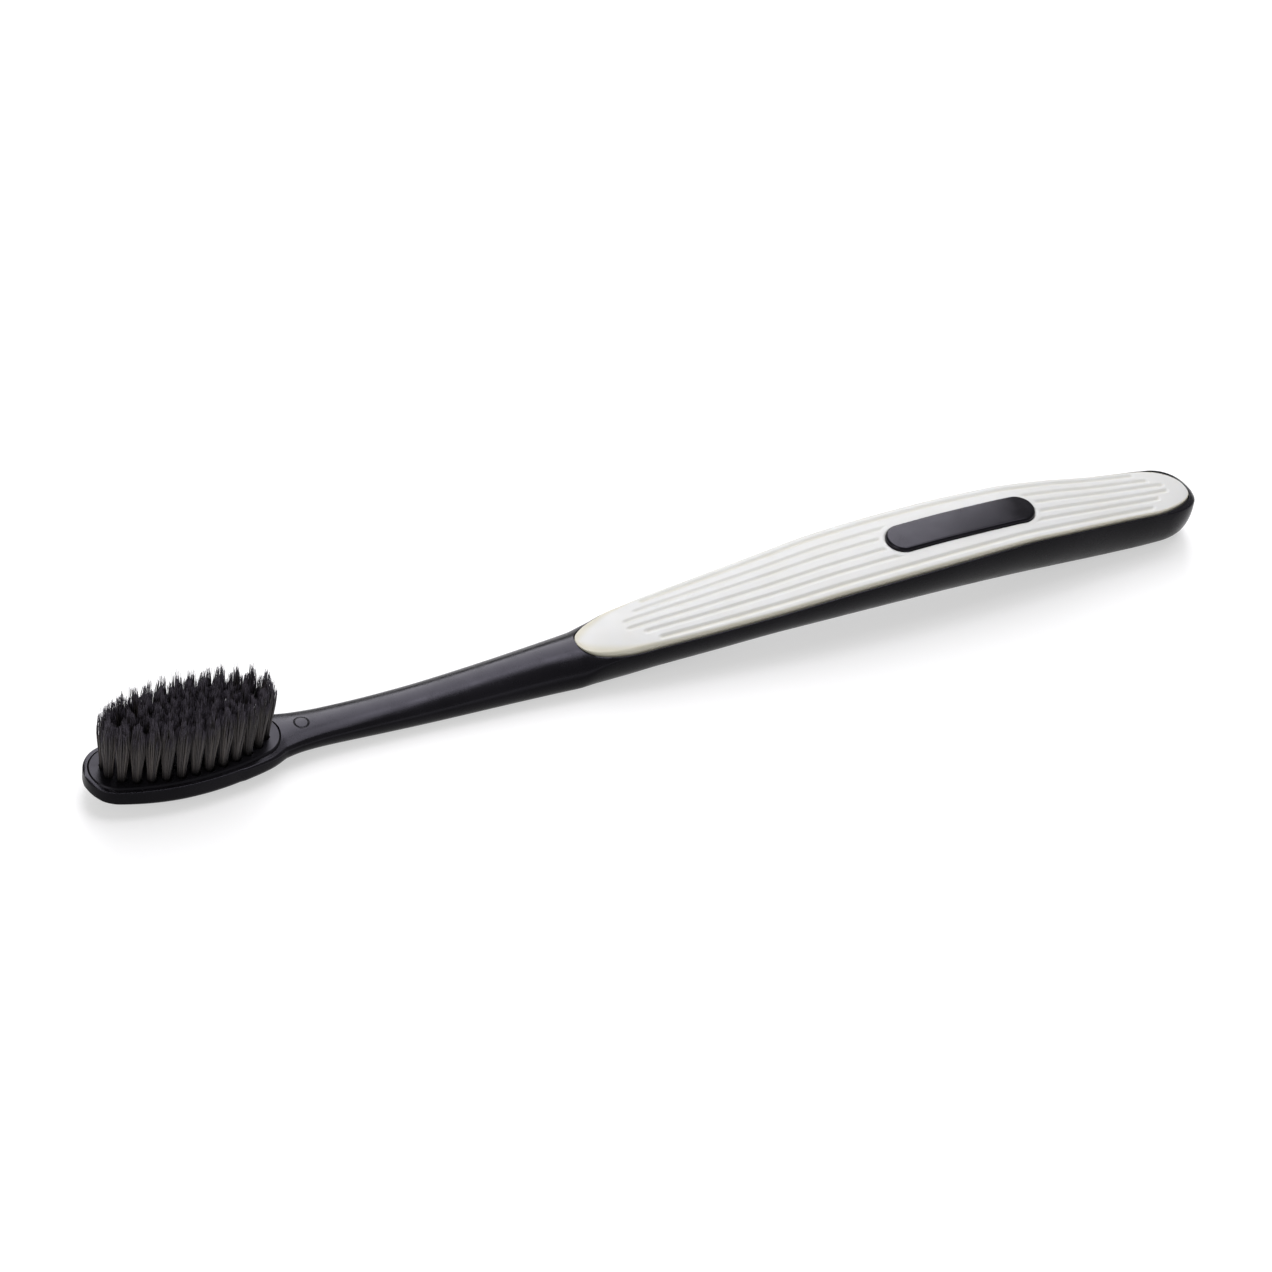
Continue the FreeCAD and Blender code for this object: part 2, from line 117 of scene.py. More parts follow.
def soft_max(first: np.ndarray, second: np.ndarray, reach: float) -> np.ndarray:
    """Larger of two values, with a parabola over the reach in which they cross."""
    near = np.clip(reach - np.abs(first - second), 0.0, None)
    return np.maximum(first, second) + near ** 2 / (4 * reach)


def oval_radii(half: np.ndarray, rise: np.ndarray) -> tuple[np.ndarray, np.ndarray]:
    """Radii of the side arc and the middle arc of a half oval in three tangent arcs.

    With d the diagonal of half and rise, and r what half and rise exceed it by, they are d (d - half) / r and
    d (d - rise) / r.

    Args:
        half: Half widths.
        rise: Rises of the peak over the sides.

    Returns:
        Side radii and middle radii.
    """
    half, rise = np.maximum(half, LEAST_ARC), np.maximum(rise, LEAST_ARC)
    diagonal = np.hypot(half, rise)
    rest = half + rise - diagonal
    return diagonal * (diagonal - half) / rest, diagonal * (diagonal - rise) / rest


def oval_height(half: np.ndarray, rise: np.ndarray, y: np.ndarray) -> np.ndarray:
    """Height of a half oval over its sides at a distance from its middle.

    Args:
        half: Half widths.
        rise: Rises.
        y: Distances from the middle line, none past the half width.

    Returns:
        Heights on the middle arc, or on the side arc beyond the joint of the two.
    """
    side, middle = oval_radii(half, rise)
    half, rise = np.maximum(half, LEAST_ARC), np.maximum(rise, LEAST_ARC)
    joint = half - side * (1 - rise / np.hypot(half, rise))
    on_middle = rise - middle + np.sqrt(np.clip(middle ** 2 - y ** 2, 0.0, None))
    on_side = np.sqrt(np.clip(side ** 2 - (y - half + side) ** 2, 0.0, None))
    return np.where(y <= joint, on_middle, on_side)


def oval_quarter(
    half: np.ndarray, rise: np.ndarray, inner: np.ndarray, side_steps: int, top_steps: int,
) -> np.ndarray:
    """Points of a quarter oval at many stations, from its side inwards to a distance from the middle line.

    The side arc is stepped by angle and the middle arc by distance, so both stay smooth.

    Args:
        half: Half width at each station.
        rise: Rise at each station, always positive.
        inner: Distance from the middle line at which the quarter stops.
        side_steps: Steps on the side arc.
        top_steps: Steps on the middle arc.

    Returns:
        Array of stations by points by (distance from the middle line, height over the side).
    """
    half, rise, inner = half[:, None], rise[:, None], np.minimum(inner, half)[:, None]
    safe = np.maximum(half, LEAST_ARC)
    side = oval_radii(safe, rise)[0]
    joint = safe - side * (1 - rise / np.hypot(safe, rise))
    stop = np.maximum(joint, inner)
    last_turn = np.arccos(np.clip((stop - safe + side) / side, -1.0, 1.0))
    turn = last_turn * np.linspace(0, 1, side_steps + 1)
    side_y = safe - side + side * np.cos(turn)
    across = np.linspace(0, 1, top_steps + 1)[1:]
    top_y = stop + (np.minimum(inner, stop) - stop) * across
    y = np.concatenate([side_y, top_y], axis=1)
    z = np.concatenate([side * np.sin(turn), oval_height(safe, rise, top_y)], axis=1)
    return np.stack([np.where(half > 0, y, 0.0), z], axis=2)


def spread(*parts: np.ndarray) -> np.ndarray:
    """Sort places along X and drop those nearer than the station gap to the one before, but never the last.

    Args:
        parts: Places along X, in any order.

    Returns:
        The places that stay, from the toe to the tail.
    """
    places = np.unique(np.concatenate(parts))
    kept = np.concatenate([[True], np.diff(places) > STATION_GAP])
    kept[-1] = True
    return places[kept]


def closing(tip: float, length: float, steps: int) -> np.ndarray:
    """Places that close up on a tip: the tip plus the length times one less the cosine of even turns."""
    return tip + length * (1 - np.cos(np.linspace(0, np.pi / 2, steps + 1)))


def mirrored(right_y: np.ndarray, right_z: np.ndarray) -> tuple[np.ndarray, np.ndarray]:
    """Whole sections from right halves that end on the middle line.

    The left half is the right one run back, without its first point and with its places across negated.

    Args:
        right_y: Distances from the middle line, stations by points.
        right_z: Heights, stations by points.

    Returns:
        Places across and heights of the whole sections.
    """
    y = np.concatenate([right_y, -right_y[:, -2::-1]], axis=1)
    return y, np.concatenate([right_z, right_z[:, -2::-1]], axis=1)


def section_points(x: np.ndarray, y: np.ndarray, z: np.ndarray) -> np.ndarray:
    """Points of sections across X, as stations by points by three, from one x and a row of y and z each."""
    return np.stack([np.broadcast_to(x[:, None], y.shape), y, z], axis=2)


def grid_quads(rows: int, columns: int, loop: bool = False) -> np.ndarray:
    """Corner numbers of the quads of a grid of points stored row by row.

    Args:
        rows: Number of rows.
        columns: Number of points in each row.
        loop: Whether each row's end joins its start.

    Returns:
        Array of quads by four corner numbers.
    """
    row, column = np.meshgrid(np.arange(rows - 1), np.arange(columns if loop else columns - 1), indexing="ij")
    after = (column + 1) % columns
    here, there = row * columns, (row + 1) * columns
    return np.stack([here + column, here + after, there + after, there + column], axis=-1).reshape(-1, 4)


def add_object(name: str, data: bpy.types.ID) -> bpy.types.Object:
    """Make an object and link it to the scene.

    Args:
        name: Name of the object.
        data: Its mesh, light or camera.

    Returns:
        The new object, at the origin.
    """
    made = bpy.data.objects.new(name, data)
    bpy.context.scene.collection.objects.link(made)
    return made


def new_mesh(name: str, points: np.ndarray, quads: np.ndarray) -> bpy.types.Mesh:
    """Make a mesh from points in metres.

    Args:
        name: Name of the mesh.
        points: Array of points by three.
        quads: Array of quads by four corner numbers.

    Returns:
        The new mesh.
    """
    mesh = bpy.data.meshes.new(name)
    mesh.from_pydata(points.tolist(), [], quads.tolist())
    return mesh


def store_value(mesh: bpy.types.Mesh, name: str, values: np.ndarray) -> None:
    """Store one number for each point of a mesh, under the name by which a material reads it."""
    mesh.attributes.new(name, "FLOAT", "POINT").data.foreach_set("value", values.astype(np.float32))


def make_piece(
    name: str, points: np.ndarray, quads: np.ndarray, crease_degrees: float,
) -> bpy.types.Object:
    """Build a closed mesh object from points in millimetres.

    Points that meet are merged, faces that fold to nothing are dropped, a last narrow section is closed,
    normals face out, and shading is smooth but for edges sharper than the crease.

    Args:
        name: Name of the object and its mesh.
        points: Array of points by three.
        quads: Array of quads by four corner numbers.
        crease_degrees: Angle past which an edge stays sharp.

    Returns:
        The new object, at the origin.
    """
    mesh = new_mesh(name, points * MM, quads)
    work = bmesh.new()
    work.from_mesh(mesh)
    bmesh.ops.remove_doubles(work, verts=work.verts, dist=MERGE_DISTANCE)
    bmesh.ops.dissolve_degenerate(work, edges=work.edges, dist=FOLD_DISTANCE)
    bmesh.ops.holes_fill(work, edges=[edge for edge in work.edges if edge.is_boundary])
    bmesh.ops.recalc_face_normals(work, faces=work.faces)
    if work.calc_volume(signed=True) < 0:
        bmesh.ops.reverse_faces(work, faces=work.faces)
    work.to_mesh(mesh)
    work.free()
    mesh.shade_smooth()
    mesh.set_sharp_from_angle(angle=np.radians(crease_degrees))
    return add_object(name, mesh)


def settle(piece: bpy.types.Object, slot: Slot, material: bpy.types.Material, *nodes: str) -> None:
    """Dress a piece, let it ride on the brush and stand for CAD nodes.

    Args:
        piece: The object.
        slot: Record slot of its finish. Not used.
        material: Its material.
        nodes: CAD nodes that it stands for.
    """
    piece.data.materials.append(material)
    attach(piece, "root")
    if nodes:
        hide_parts(*nodes)
    stands_for = ", ".join(nodes) or "no node"
    LOG.info("%s: %d faces, stands for %s", piece.name, len(piece.data.polygons), stands_for)


@dataclass(frozen=True)
class HandleForm:
    """Sizes of the handle in millimetres, and the curves that give its widths and heights along X."""

    head_length: float = 32.4
    neck_length: float = 48.4
    grip_length: float = 109.2
    tail_round_length: float = 6.5
    head_width: float = 13.9
    head_thickness: float = 4.6
    rim_height: float = 5.5
    neck_width: float = 5.7
    grip_width: float = 15.2
    shoulder_height: float = 7.9
    crest_rise: float = 5.7
    arch_rise: float = 2.3
    tail_back_lift: float = 3.2
    tail_crown_fall: float = 1.6
    tail_plan_power: float = 2.2
    tail_side_power: float = 2.0
    rest_flat_depth: float = 0.35
    toe_round_length: float = 14.0
    toe_round_rise: float = 2.4
    toe_round_power: float = 1.5
    head_rim_rise: float = 0.4
    head_wall: float = 1.9
    head_wall_room: float = 0.3
    head_blend: float = 1.8
    head_fade_before: float = 14.0
    head_fade_after: float = 3.0
    plate_length: float = 30.8
    plate_width: float = 12.4
    plate_end_radius: float = 4.7
    pad_tip_gap: float = 0.3
    pad_tail_inset: float = 1.1
    pad_side_ledge: float = 0.45
    pad_shoulder_drop: float = 1.2
    pad_end_rise: float = 0.3
    pad_wall_share: float = 0.22
    pad_bow_nose: float = 0.8
    pad_stern_nose: float = 0.7
    pad_nose_power: float = 2.0
    bow_length: float = 8.0
    bow_power: float = 2.0
    stern_length: float = 9.0
    stern_power: float = 2.2
    run_in_setback: float = 1.0
    run_in_length: float = 10.0
    neck_half: ShareCurve = ShareCurve((
        (-0.19, 1.95), (-0.11, 1.82), (-0.05, 1.6), (0.0, 1.4), (0.06, 1.24), (0.14, 1.14), (0.26, 1.12),
        (0.45, 1.18), (0.62, 1.28), (0.78, 1.39), (0.9, 1.5), (1.0, 1.62),
    ))
    grip_half: ShareCurve = ShareCurve((
        (0.0, 0.6075), (0.04, 0.632), (0.08, 0.692), (0.13, 0.757), (0.2, 0.825), (0.3, 0.91), (0.4, 0.975),
        (0.48, 0.99), (0.57, 0.98), (0.66, 0.94), (0.76, 0.87), (0.86, 0.755), (0.94, 0.7), (1.0, 0.67),
    ))
    neck_top: ShareCurve = ShareCurve((
        (-0.19, 0.0), (0.0, 0.0), (0.2, -0.07), (0.4, 0.02), (0.6, 0.29), (0.8, 0.68), (0.92, 0.9),
        (1.0, 1.0),
    ))
    neck_back: ShareCurve = ShareCurve((
        (-0.19, 1.0), (0.0, 1.0), (0.15, 0.62), (0.35, 0.16), (0.55, 0.0), (1.0, 0.0),
    ))
    grip_top: ShareCurve = ShareCurve((
        (0.0, 0.0), (0.02, 0.03), (0.04, 0.085), (0.1, 0.24), (0.2, 0.404), (0.3, 0.592), (0.4, 0.815),
        (0.5, 0.932), (0.6, 0.989), (0.68, 0.977), (0.76, 0.842), (0.84, 0.637), (0.92, 0.451), (1.0, 0.289),
    ))
    grip_back: ShareCurve = ShareCurve((
        (0.0, 0.0), (0.04, 0.0), (0.12, 0.34), (0.2, 0.6), (0.32, 0.95), (0.44, 1.0), (0.56, 0.95),
        (0.66, 0.78), (0.76, 0.5), (0.86, 0.16), (0.92, 0.06), (1.0, 0.06),
    ))
    pad_drop: ShareCurve = ShareCurve((
        (0.0, 1.1), (0.06, 1.1), (0.15, 0.97), (0.3, 0.85), (0.55, 0.8), (0.66, 0.62), (0.75, 0.5),
        (0.85, 0.42), (0.93, 0.34), (1.0, 0.28),
    ))
    widest_level: ShareCurve = ShareCurve((
        (-1.0, 0.6), (-0.46, 0.62), (-0.36, 0.66), (-0.2, 0.6), (-0.05, 0.56), (0.0, 0.57), (0.03, 0.72),
        (0.07, 0.9), (0.12, 0.94), (1.0, 0.94),
    ))

    @property
    def toe_x(self) -> float:
        """X of the toe's tip."""
        return -(self.head_length + self.neck_length + self.grip_length) / 2

    @property
    def tail_x(self) -> float:
        """X of the tail's tip."""
        return -self.toe_x

    @property
    def head_end_x(self) -> float:
        """X at which the head ends."""
        return self.toe_x + self.head_length

    @property
    def neck_end_x(self) -> float:
        """X at which the grip zone starts."""
        return self.head_end_x + self.neck_length

    @property
    def rim_width(self) -> float:
        """Width of the head's rim round the plate."""
        return (self.head_width - self.plate_width) / 2

    @property
    def plate_x(self) -> float:
        """X of the plate's centre."""
        return self.toe_x + self.rim_width + self.plate_length / 2

    @property
    def pad_start_x(self) -> float:
        """X of the overmould's bow."""
        return self.neck_end_x + self.pad_tip_gap

    @property
    def pad_end_x(self) -> float:
        """X of the overmould's stern."""
        return self.tail_x - self.pad_tail_inset

    def neck_share(self, x: np.ndarray) -> np.ndarray:
        """Share of the neck's length at x."""
        return (x - self.head_end_x) / self.neck_length

    def grip_share(self, x: np.ndarray) -> np.ndarray:
        """Share of the grip zone's length at x."""
        return (x - self.neck_end_x) / self.grip_length

    def oval_half(self, x: np.ndarray, grow: float) -> np.ndarray:
        """Half width of the plate's oval, moved outwards, at x.

        Two end arcs of one radius and two long side arcs touch each other. The half width is the height of
        the end circle past the joint of the two, and of the side circle before it.

        Args:
            x: Places along X.
            grow: How far the oval is moved outwards.

        Returns:
            Half widths, nothing past the oval's ends.
        """
        reach = self.plate_length / 2 - self.plate_end_radius
        half = self.plate_width / 2
        side = (reach ** 2 + half ** 2 - self.plate_end_radius ** 2) / (2 * (half - self.plate_end_radius))
        end = self.plate_end_radius + grow
        joint = reach + end * reach / np.hypot(reach, side - half)
        away = np.abs(x - self.plate_x)
        on_end = np.sqrt(np.clip(end ** 2 - (away - reach) ** 2, 0.0, None))
        on_side = np.sqrt(np.clip((side + grow) ** 2 - away ** 2, 0.0, None)) - (side - half)
        return np.where(away > joint, on_end, np.clip(on_side, 0.0, None))

    def half_width(self, x: np.ndarray) -> np.ndarray:
        """Half width of the black core at x: the larger of the head's oval and the neck, softly joined.

        Args:
            x: Places along X.

        Returns:
            Half widths, nothing past the toe and the tail.
        """
        neck = self.neck_width / 2 * self.neck_half.at(self.neck_share(x))
        body = self.grip_width / 2 * self.grip_half.at(self.grip_share(x))
        body = body * round_end(self.tail_x - x, self.tail_round_length, self.tail_plan_power)
        handle = np.where(x < self.neck_end_x, neck, body)
        head = self.oval_half(x, self.rim_width)
        root_x = self.head_end_x + self.neck_length * self.neck_half.rows[0][0]
        joined = np.where(x < self.neck_end_x, soft_max(head, handle, self.head_blend), handle)
        return np.where(x < root_x, head, joined)

    def tail_turn(self, x: np.ndarray) -> np.ndarray:
        """How far the side view has turned in at the tail, from none to all."""
        return 1 - round_end(self.tail_x - x, self.tail_round_length, self.tail_side_power)

    def crown(self, x: np.ndarray) -> np.ndarray:
        """Highest line of the thumb side at x: level on the head, then each zone's rise times its curve.

        Args:
            x: Places along X.

        Returns:
            Heights.
        """
        climb = self.shoulder_height - self.rim_height
        neck = self.rim_height + climb * self.neck_top.at(self.neck_share(x))
        body = self.shoulder_height + self.crest_rise * self.grip_top.at(self.grip_share(x))
        body = body - self.tail_crown_fall * self.tail_turn(x)
        return np.where(x < self.head_end_x, self.rim_height, np.where(x < self.neck_end_x, neck, body))

    def back(self, x: np.ndarray) -> np.ndarray:
        """Height of the back at x before it is cut flat where it rests.

        At the toe it rises by the rest of the way to the round's end, to a power. The neck and the arch are
        their curves times their heights over the depth that is cut flat.

        Args:
            x: Places along X.

        Returns:
            Heights, below nothing where the back rests.
        """
        head, flat = self.rim_height - self.head_thickness, self.rest_flat_depth
        rest = np.clip(1 - (x - self.toe_x) / self.toe_round_length, 0.0, 1.0)
        toe = self.toe_round_rise * rest ** self.toe_round_power
        neck = (head + flat) * self.neck_back.at(self.neck_share(x)) - flat
        arch = (self.arch_rise + flat) * self.grip_back.at(self.grip_share(x)) - flat
        body = arch + self.tail_back_lift * self.tail_turn(x)
        return np.where(x < self.head_end_x, head + toe, np.where(x < self.neck_end_x, neck, body))

    def ledge(self, x: np.ndarray) -> np.ndarray:
        """Peak of the core's section at x: the crown on the neck, running in to the overmould's ledge.

        Args:
            x: Places along X.

        Returns:
            Heights.
        """
        start = self.neck_end_x + self.run_in_setback
        drop = self.pad_shoulder_drop * self.pad_drop.at(np.clip(self.grip_share(x), 0.0, 1.0))
        return self.crown(x) - drop * ease(start, start + self.run_in_length, x)

    def head_part(self, x: np.ndarray) -> np.ndarray:
        """Share of the head's own section in the section at x: all on the head, none on the neck."""
        return 1 - ease(self.head_end_x - self.head_fade_before, self.head_end_x + self.head_fade_after, x)

    def level(self, x: np.ndarray) -> np.ndarray:
        """Height at which the core is widest: just under the rim on the head, mid-height on the neck.

        Args:
            x: Places along X.

        Returns:
            Heights.
        """
        low, high = self.back(x), self.ledge(x)
        body = low + (high - low) * self.widest_level.at(self.grip_share(x))
        rim = high - self.head_rim_rise
        return body + (rim - body) * self.head_part(x)

    def wall_foot(self, x: np.ndarray) -> np.ndarray:
        """Height down to which the side stands upright: below the rim on the head, else the widest level."""
        room = np.maximum(self.level(x) - self.back(x) - self.head_wall_room, 0.0)
        return self.level(x) - np.minimum(self.head_wall * self.head_part(x), room)

    def pad_half(self, x: np.ndarray) -> np.ndarray:
        """Half width of the overmould at x: the grip's own, less the ledge, with two rounded ends.

        Args:
            x: Places along X.

        Returns:
            Half widths, nothing past its ends.
        """
        inner = self.grip_width / 2 * self.grip_half.at(self.grip_share(x)) - self.pad_side_ledge
        bow = round_end(x - self.pad_start_x, self.bow_length, self.bow_power)
        stern = round_end(self.pad_end_x - x, self.stern_length, self.stern_power)
        return inner * bow * stern

    def seam(self, x: np.ndarray) -> np.ndarray:
        """Height at which the overmould's side meets the core: the core's height at the overmould's outline.

        Args:
            x: Places along X.

        Returns:
            Heights.
        """
        half, level = np.maximum(self.half_width(x), LEAST_HALF), self.level(x)
        rise = np.maximum(self.ledge(x) - level, LEAST_HALF)
        return level + oval_height(half, rise, np.minimum(self.pad_half(x), half))

    def pad_rise(self, x: np.ndarray) -> np.ndarray:
        """Rise of the overmould's crown over its seam, with round noses at both ends.

        Args:
            x: Places along X.

        Returns:
            Rises, nothing at its ends.
        """
        rise = np.maximum(self.crown(x) - self.seam(x), self.pad_end_rise)
        bow = round_end(x - self.pad_start_x, self.pad_bow_nose, self.pad_nose_power)
        return rise * bow * round_end(self.pad_end_x - x, self.pad_stern_nose, self.pad_nose_power)

    def pad_top(self, x: np.ndarray, y: np.ndarray) -> np.ndarray:
        """Height of the overmould's plain crown, without grooves, at a place in plan.

        A share of the rise is an upright wall above the seam, and a four-centre oval carries the rest.

        Args:
            x: Places along X.
            y: Places across.

        Returns:
            Heights above the frame's floor.
        """
        half = np.maximum(self.pad_half(x), LEAST_HALF)
        rise = np.maximum(self.pad_rise(x), LEAST_HALF)
        crown = oval_height(half, rise * (1 - self.pad_wall_share), np.minimum(np.abs(y), half))
        return self.seam(x) + rise * self.pad_wall_share + crown


# Finishes. Cells are noise cells a metre, and depths are in metres.

class Graph:
    """A material's node tree with short calls to add and join nodes."""

    def __init__(self, name: str) -> None:
        """Start an empty material with a shader and an output.

        Args:
            name: Name of the material.
        """
        self.material = bpy.data.materials.new(name)
        self.material.use_nodes = True
        self.tree = self.material.node_tree
        self.shader = self.tree.nodes["Principled BSDF"]

    def add(self, kind: str, settings: dict[str, object] | None = None, **inputs: object) -> bpy.types.Node:
        """Add a node.

        Args:
            kind: Node type without its ShaderNode prefix.
            settings: Attributes of the node to set.
            inputs: Input values or sockets by name, with underscores for spaces.

        Returns:
            The new node.
        """
        node = self.tree.nodes.new("ShaderNode" + kind)
        for key, value in (settings or {}).items():
            setattr(node, key, value)
        for key, value in inputs.items():
            self.put(node.inputs[key.replace("_", " ")], value)
        return node

    def put(self, socket: bpy.types.NodeSocket, value: object) -> None:
        """Set a socket to a value, or join another socket to it.

        Args:
            socket: The socket to fill.
            value: A plain value, or the socket that feeds it.
        """
        if isinstance(value, bpy.types.NodeSocket):
            self.tree.links.new(value, socket)
        else:
            socket.default_value = value

    def noise(self, cells: float, detail: float = 3.0) -> bpy.types.NodeSocket:
        """Noise on object coordinates, of about this many cells a metre, from 0 to 1."""
        where = self.add("TexCoord").outputs["Object"]
        return self.add("TexNoise", Vector=where, Scale=cells, Detail=detail).outputs["Fac"]

    def stored(self, name: str) -> bpy.types.NodeSocket:
        """Number stored on the mesh's points under a name."""
        return self.add("Attribute", {"attribute_name": name}).outputs["Fac"]

    def math(self, operation: str, first: object, second: object = 0.0) -> bpy.types.NodeSocket:
        """Work out one sum.

        Args:
            operation: Kind of math node.
            first: First value or socket.
            second: Second value or socket.

        Returns:
            The result's socket.
        """
        node = self.add("Math", {"operation": operation})
        self.put(node.inputs[0], first)
        self.put(node.inputs[1], second)
        return node.outputs[0]

    def span(
        self, value: bpy.types.NodeSocket, low: float, high: float, start: float = 0.0, end: float = 1.0,
    ) -> bpy.types.NodeSocket:
        """Map a value by a smooth step: start below low, end above high.

        Args:
            value: The socket to map.
            low: Value at which the step starts.
            high: Value at which it ends.
            start: Result up to low.
            end: Result from high on.

        Returns:
            The result's socket.
        """
        node = self.add("MapRange", {"interpolation_type": "SMOOTHSTEP"}, Value=value)
        for key, number in (("From Min", low), ("From Max", high), ("To Min", start), ("To Max", end)):
            node.inputs[key].default_value = number
        return node.outputs["Result"]

    def blend(self, share: object, first: object, second: object) -> bpy.types.NodeSocket:
        """Mix two colours. A mix node has its share at input 0, and its colours at inputs 6 and 7.

        Args:
            share: Share of the second, as a value or socket.
            first: Colour or socket where the share is nothing.
            second: Colour or socket where the share is all.

        Returns:
            The mixed colour's socket.
        """
        node = self.add("Mix", {"data_type": "RGBA"})
        self.put(node.inputs[0], share)
        self.put(node.inputs[6], first)
        self.put(node.inputs[7], second)
        return node.outputs[2]

    def relief(
        self, height: bpy.types.NodeSocket, depth: float, below: bpy.types.NodeSocket | None = None,
    ) -> bpy.types.NodeSocket:
        """Bumped normal from a height socket.

        Args:
            height: Height between 0 and 1.
            depth: Depth of the whole height, in metres.
            below: Normal of another relief under this one.

        Returns:
            The normal socket.
        """
        node = self.add("Bump", Height=height, Distance=depth)
        if below is not None:
            self.put(node.inputs["Normal"], below)
        return node.outputs["Normal"]

    def finish(self, **inputs: object) -> bpy.types.Material:
        """Set the shader's inputs.

        Args:
            inputs: Values or sockets by input name, with underscores for spaces.

        Returns:
            The finished material.
        """
        for key, value in inputs.items():
            self.put(self.shader.inputs[key.replace("_", " ")], value)
        return self.material


@dataclass(frozen=True)
class MouldedPlastic:
    """Black moulded polypropylene: a soft gloss with a faint flow in it and a very fine skin texture.

    Where the mesh stores a flank value, the shine falls from the top to the sides by it, as painted shade
    that darkens the flanks' reflections. The ring mark has its centre along X and its least height in mark,
    its radius and its width, all in millimetres.
    """

    name: str
    tint: Colour = (0.0035, 0.0032, 0.004, 1.0)
    flow: Colour = (0.0065, 0.006, 0.0075, 1.0)
    flow_cells: float = 90.0
    flow_zone: tuple[float, float] = (0.35, 0.7)
    gloss: float = 0.22
    gloss_change: float = 0.08
    gloss_cells: float = 420.0
    gloss_zone: tuple[float, float] = (0.3, 0.75)
    top_shine: float = 0.26
    side_shine: float = 0.05
    flank: str | None = None
    shine_tint: Colour = (0.87, 0.84, 1.0, 1.0)
    refraction: float = 1.47
    skin_cells: float = 5200.0
    skin_depth: float = 0.000004
    mark: tuple[float, float] | None = None
    mark_tint: Colour = (0.004, 0.004, 0.005, 1.0)
    mark_radius: float = 1.11
    mark_width: float = 0.17
    mark_depth: float = 0.00011

    def mark_ring(self, graph: Graph, mark: tuple[float, float]) -> bpy.types.NodeSocket:
        """Value that is 0 on the mould's ring mark and 1 away from it.

        It is the distance from the ring's circle over the ring's width, smoothed, and 1 below the least
        height.

        Args:
            graph: The material's node tree.
            mark: The ring's centre along X and the height above which it shows, in millimetres.

        Returns:
            The value's socket.
        """
        where = graph.add("SeparateXYZ", Vector=graph.add("TexCoord").outputs["Object"])
        along = graph.math("POWER", graph.math("SUBTRACT", where.outputs["X"], mark[0] * MM), 2.0)
        square = graph.math("ADD", along, graph.math("POWER", where.outputs["Y"], 2.0))
        beyond = graph.math("SUBTRACT", graph.math("SQRT", square), self.mark_radius * MM)
        ring = graph.span(graph.math("ABSOLUTE", beyond), 0.0, self.mark_width * MM)
        top = graph.math("GREATER_THAN", where.outputs["Z"], mark[1] * MM)
        return graph.math("MAXIMUM", ring, graph.math("SUBTRACT", 1.0, top))

    def material(self) -> bpy.types.Material:
        """Build the material, with the mould's ring mark where one is given.

        Returns:
            The finished material.
        """
        graph = Graph(self.name)
        flow = graph.span(graph.noise(self.flow_cells, detail=4.0), *self.flow_zone)
        colour = graph.blend(flow, self.tint, self.flow)
        normal = graph.relief(graph.noise(self.skin_cells, detail=2.0), self.skin_depth)
        if self.mark is not None:
            ring = self.mark_ring(graph, self.mark)
            colour = graph.blend(ring, self.mark_tint, colour)
            normal = graph.relief(ring, self.mark_depth, normal)
        roughest = self.gloss + self.gloss_change
        rough = graph.span(graph.noise(self.gloss_cells), *self.gloss_zone, self.gloss, roughest)
        shine: object = self.top_shine
        # Painted shade: the shine is cut down the flanks so that their reflections come out darker.
        if self.flank is not None:
            shine = graph.span(graph.stored(self.flank), 0.0, 1.0, self.top_shine, self.side_shine)
        return graph.finish(
            Base_Color=colour, Roughness=rough, Normal=normal, IOR=self.refraction,
            Specular_IOR_Level=shine, Specular_Tint=self.shine_tint,
        )


@dataclass(frozen=True)
class SoftRubber:
    """Off-white overmould rubber: satin, slightly waxy, with painted shade, darker and warmer, down its sides
    and in its grooves.
    """

    name: str = "grip_rubber_offwhite"
    top: Colour = (0.575, 0.58, 0.57, 1.0)
    # The side colour is painted shade, darker and warmer than the top.
    side: Colour = (0.525, 0.505, 0.42, 1.0)
    noise_zone: tuple[float, float] = (0.3, 0.7)
    cloud_cells: float = 160.0
    cloud_share: float = 0.12
    grain_cells: float = 3600.0
    grain_depth: float = 0.000006
    dimple_cells: float = 700.0
    dimple_depth: float = 0.00001
    roughness: float = 0.42
    roughness_change: float = 0.12
    roughness_cells: float = 500.0
    refraction: float = 1.45
    wax: float = 0.12
    wax_reach: tuple[float, float, float] = (0.0012, 0.001, 0.0007)
    wax_scale: float = 0.4

    def material(self) -> bpy.types.Material:
        """Build the material. The shade attribute says how deep or far down the side a point lies, and blends
        in the side colour as painted shade.

        Returns:
            The finished material.
        """
        graph = Graph(self.name)
        cloud = graph.noise(self.cloud_cells, detail=4.0)
        cloud = graph.span(cloud, *self.noise_zone, 0.0, self.cloud_share)
        # Painted shade: the darker, warmer side colour is blended in by the shade attribute.
        colour = graph.blend(graph.math("ADD", graph.stored("shade"), cloud), self.top, self.side)
        normal = graph.relief(graph.noise(self.grain_cells, detail=2.0), self.grain_depth)
        normal = graph.relief(graph.noise(self.dimple_cells, detail=2.0), self.dimple_depth, normal)
        roughest = self.roughness + self.roughness_change
        rough = graph.noise(self.roughness_cells)
        rough = graph.span(rough, *self.noise_zone, self.roughness, roughest)
        return graph.finish(
            Base_Color=colour, Roughness=rough, Normal=normal, IOR=self.refraction,
            Subsurface_Weight=self.wax, Subsurface_Radius=self.wax_reach, Subsurface_Scale=self.wax_scale,
        )


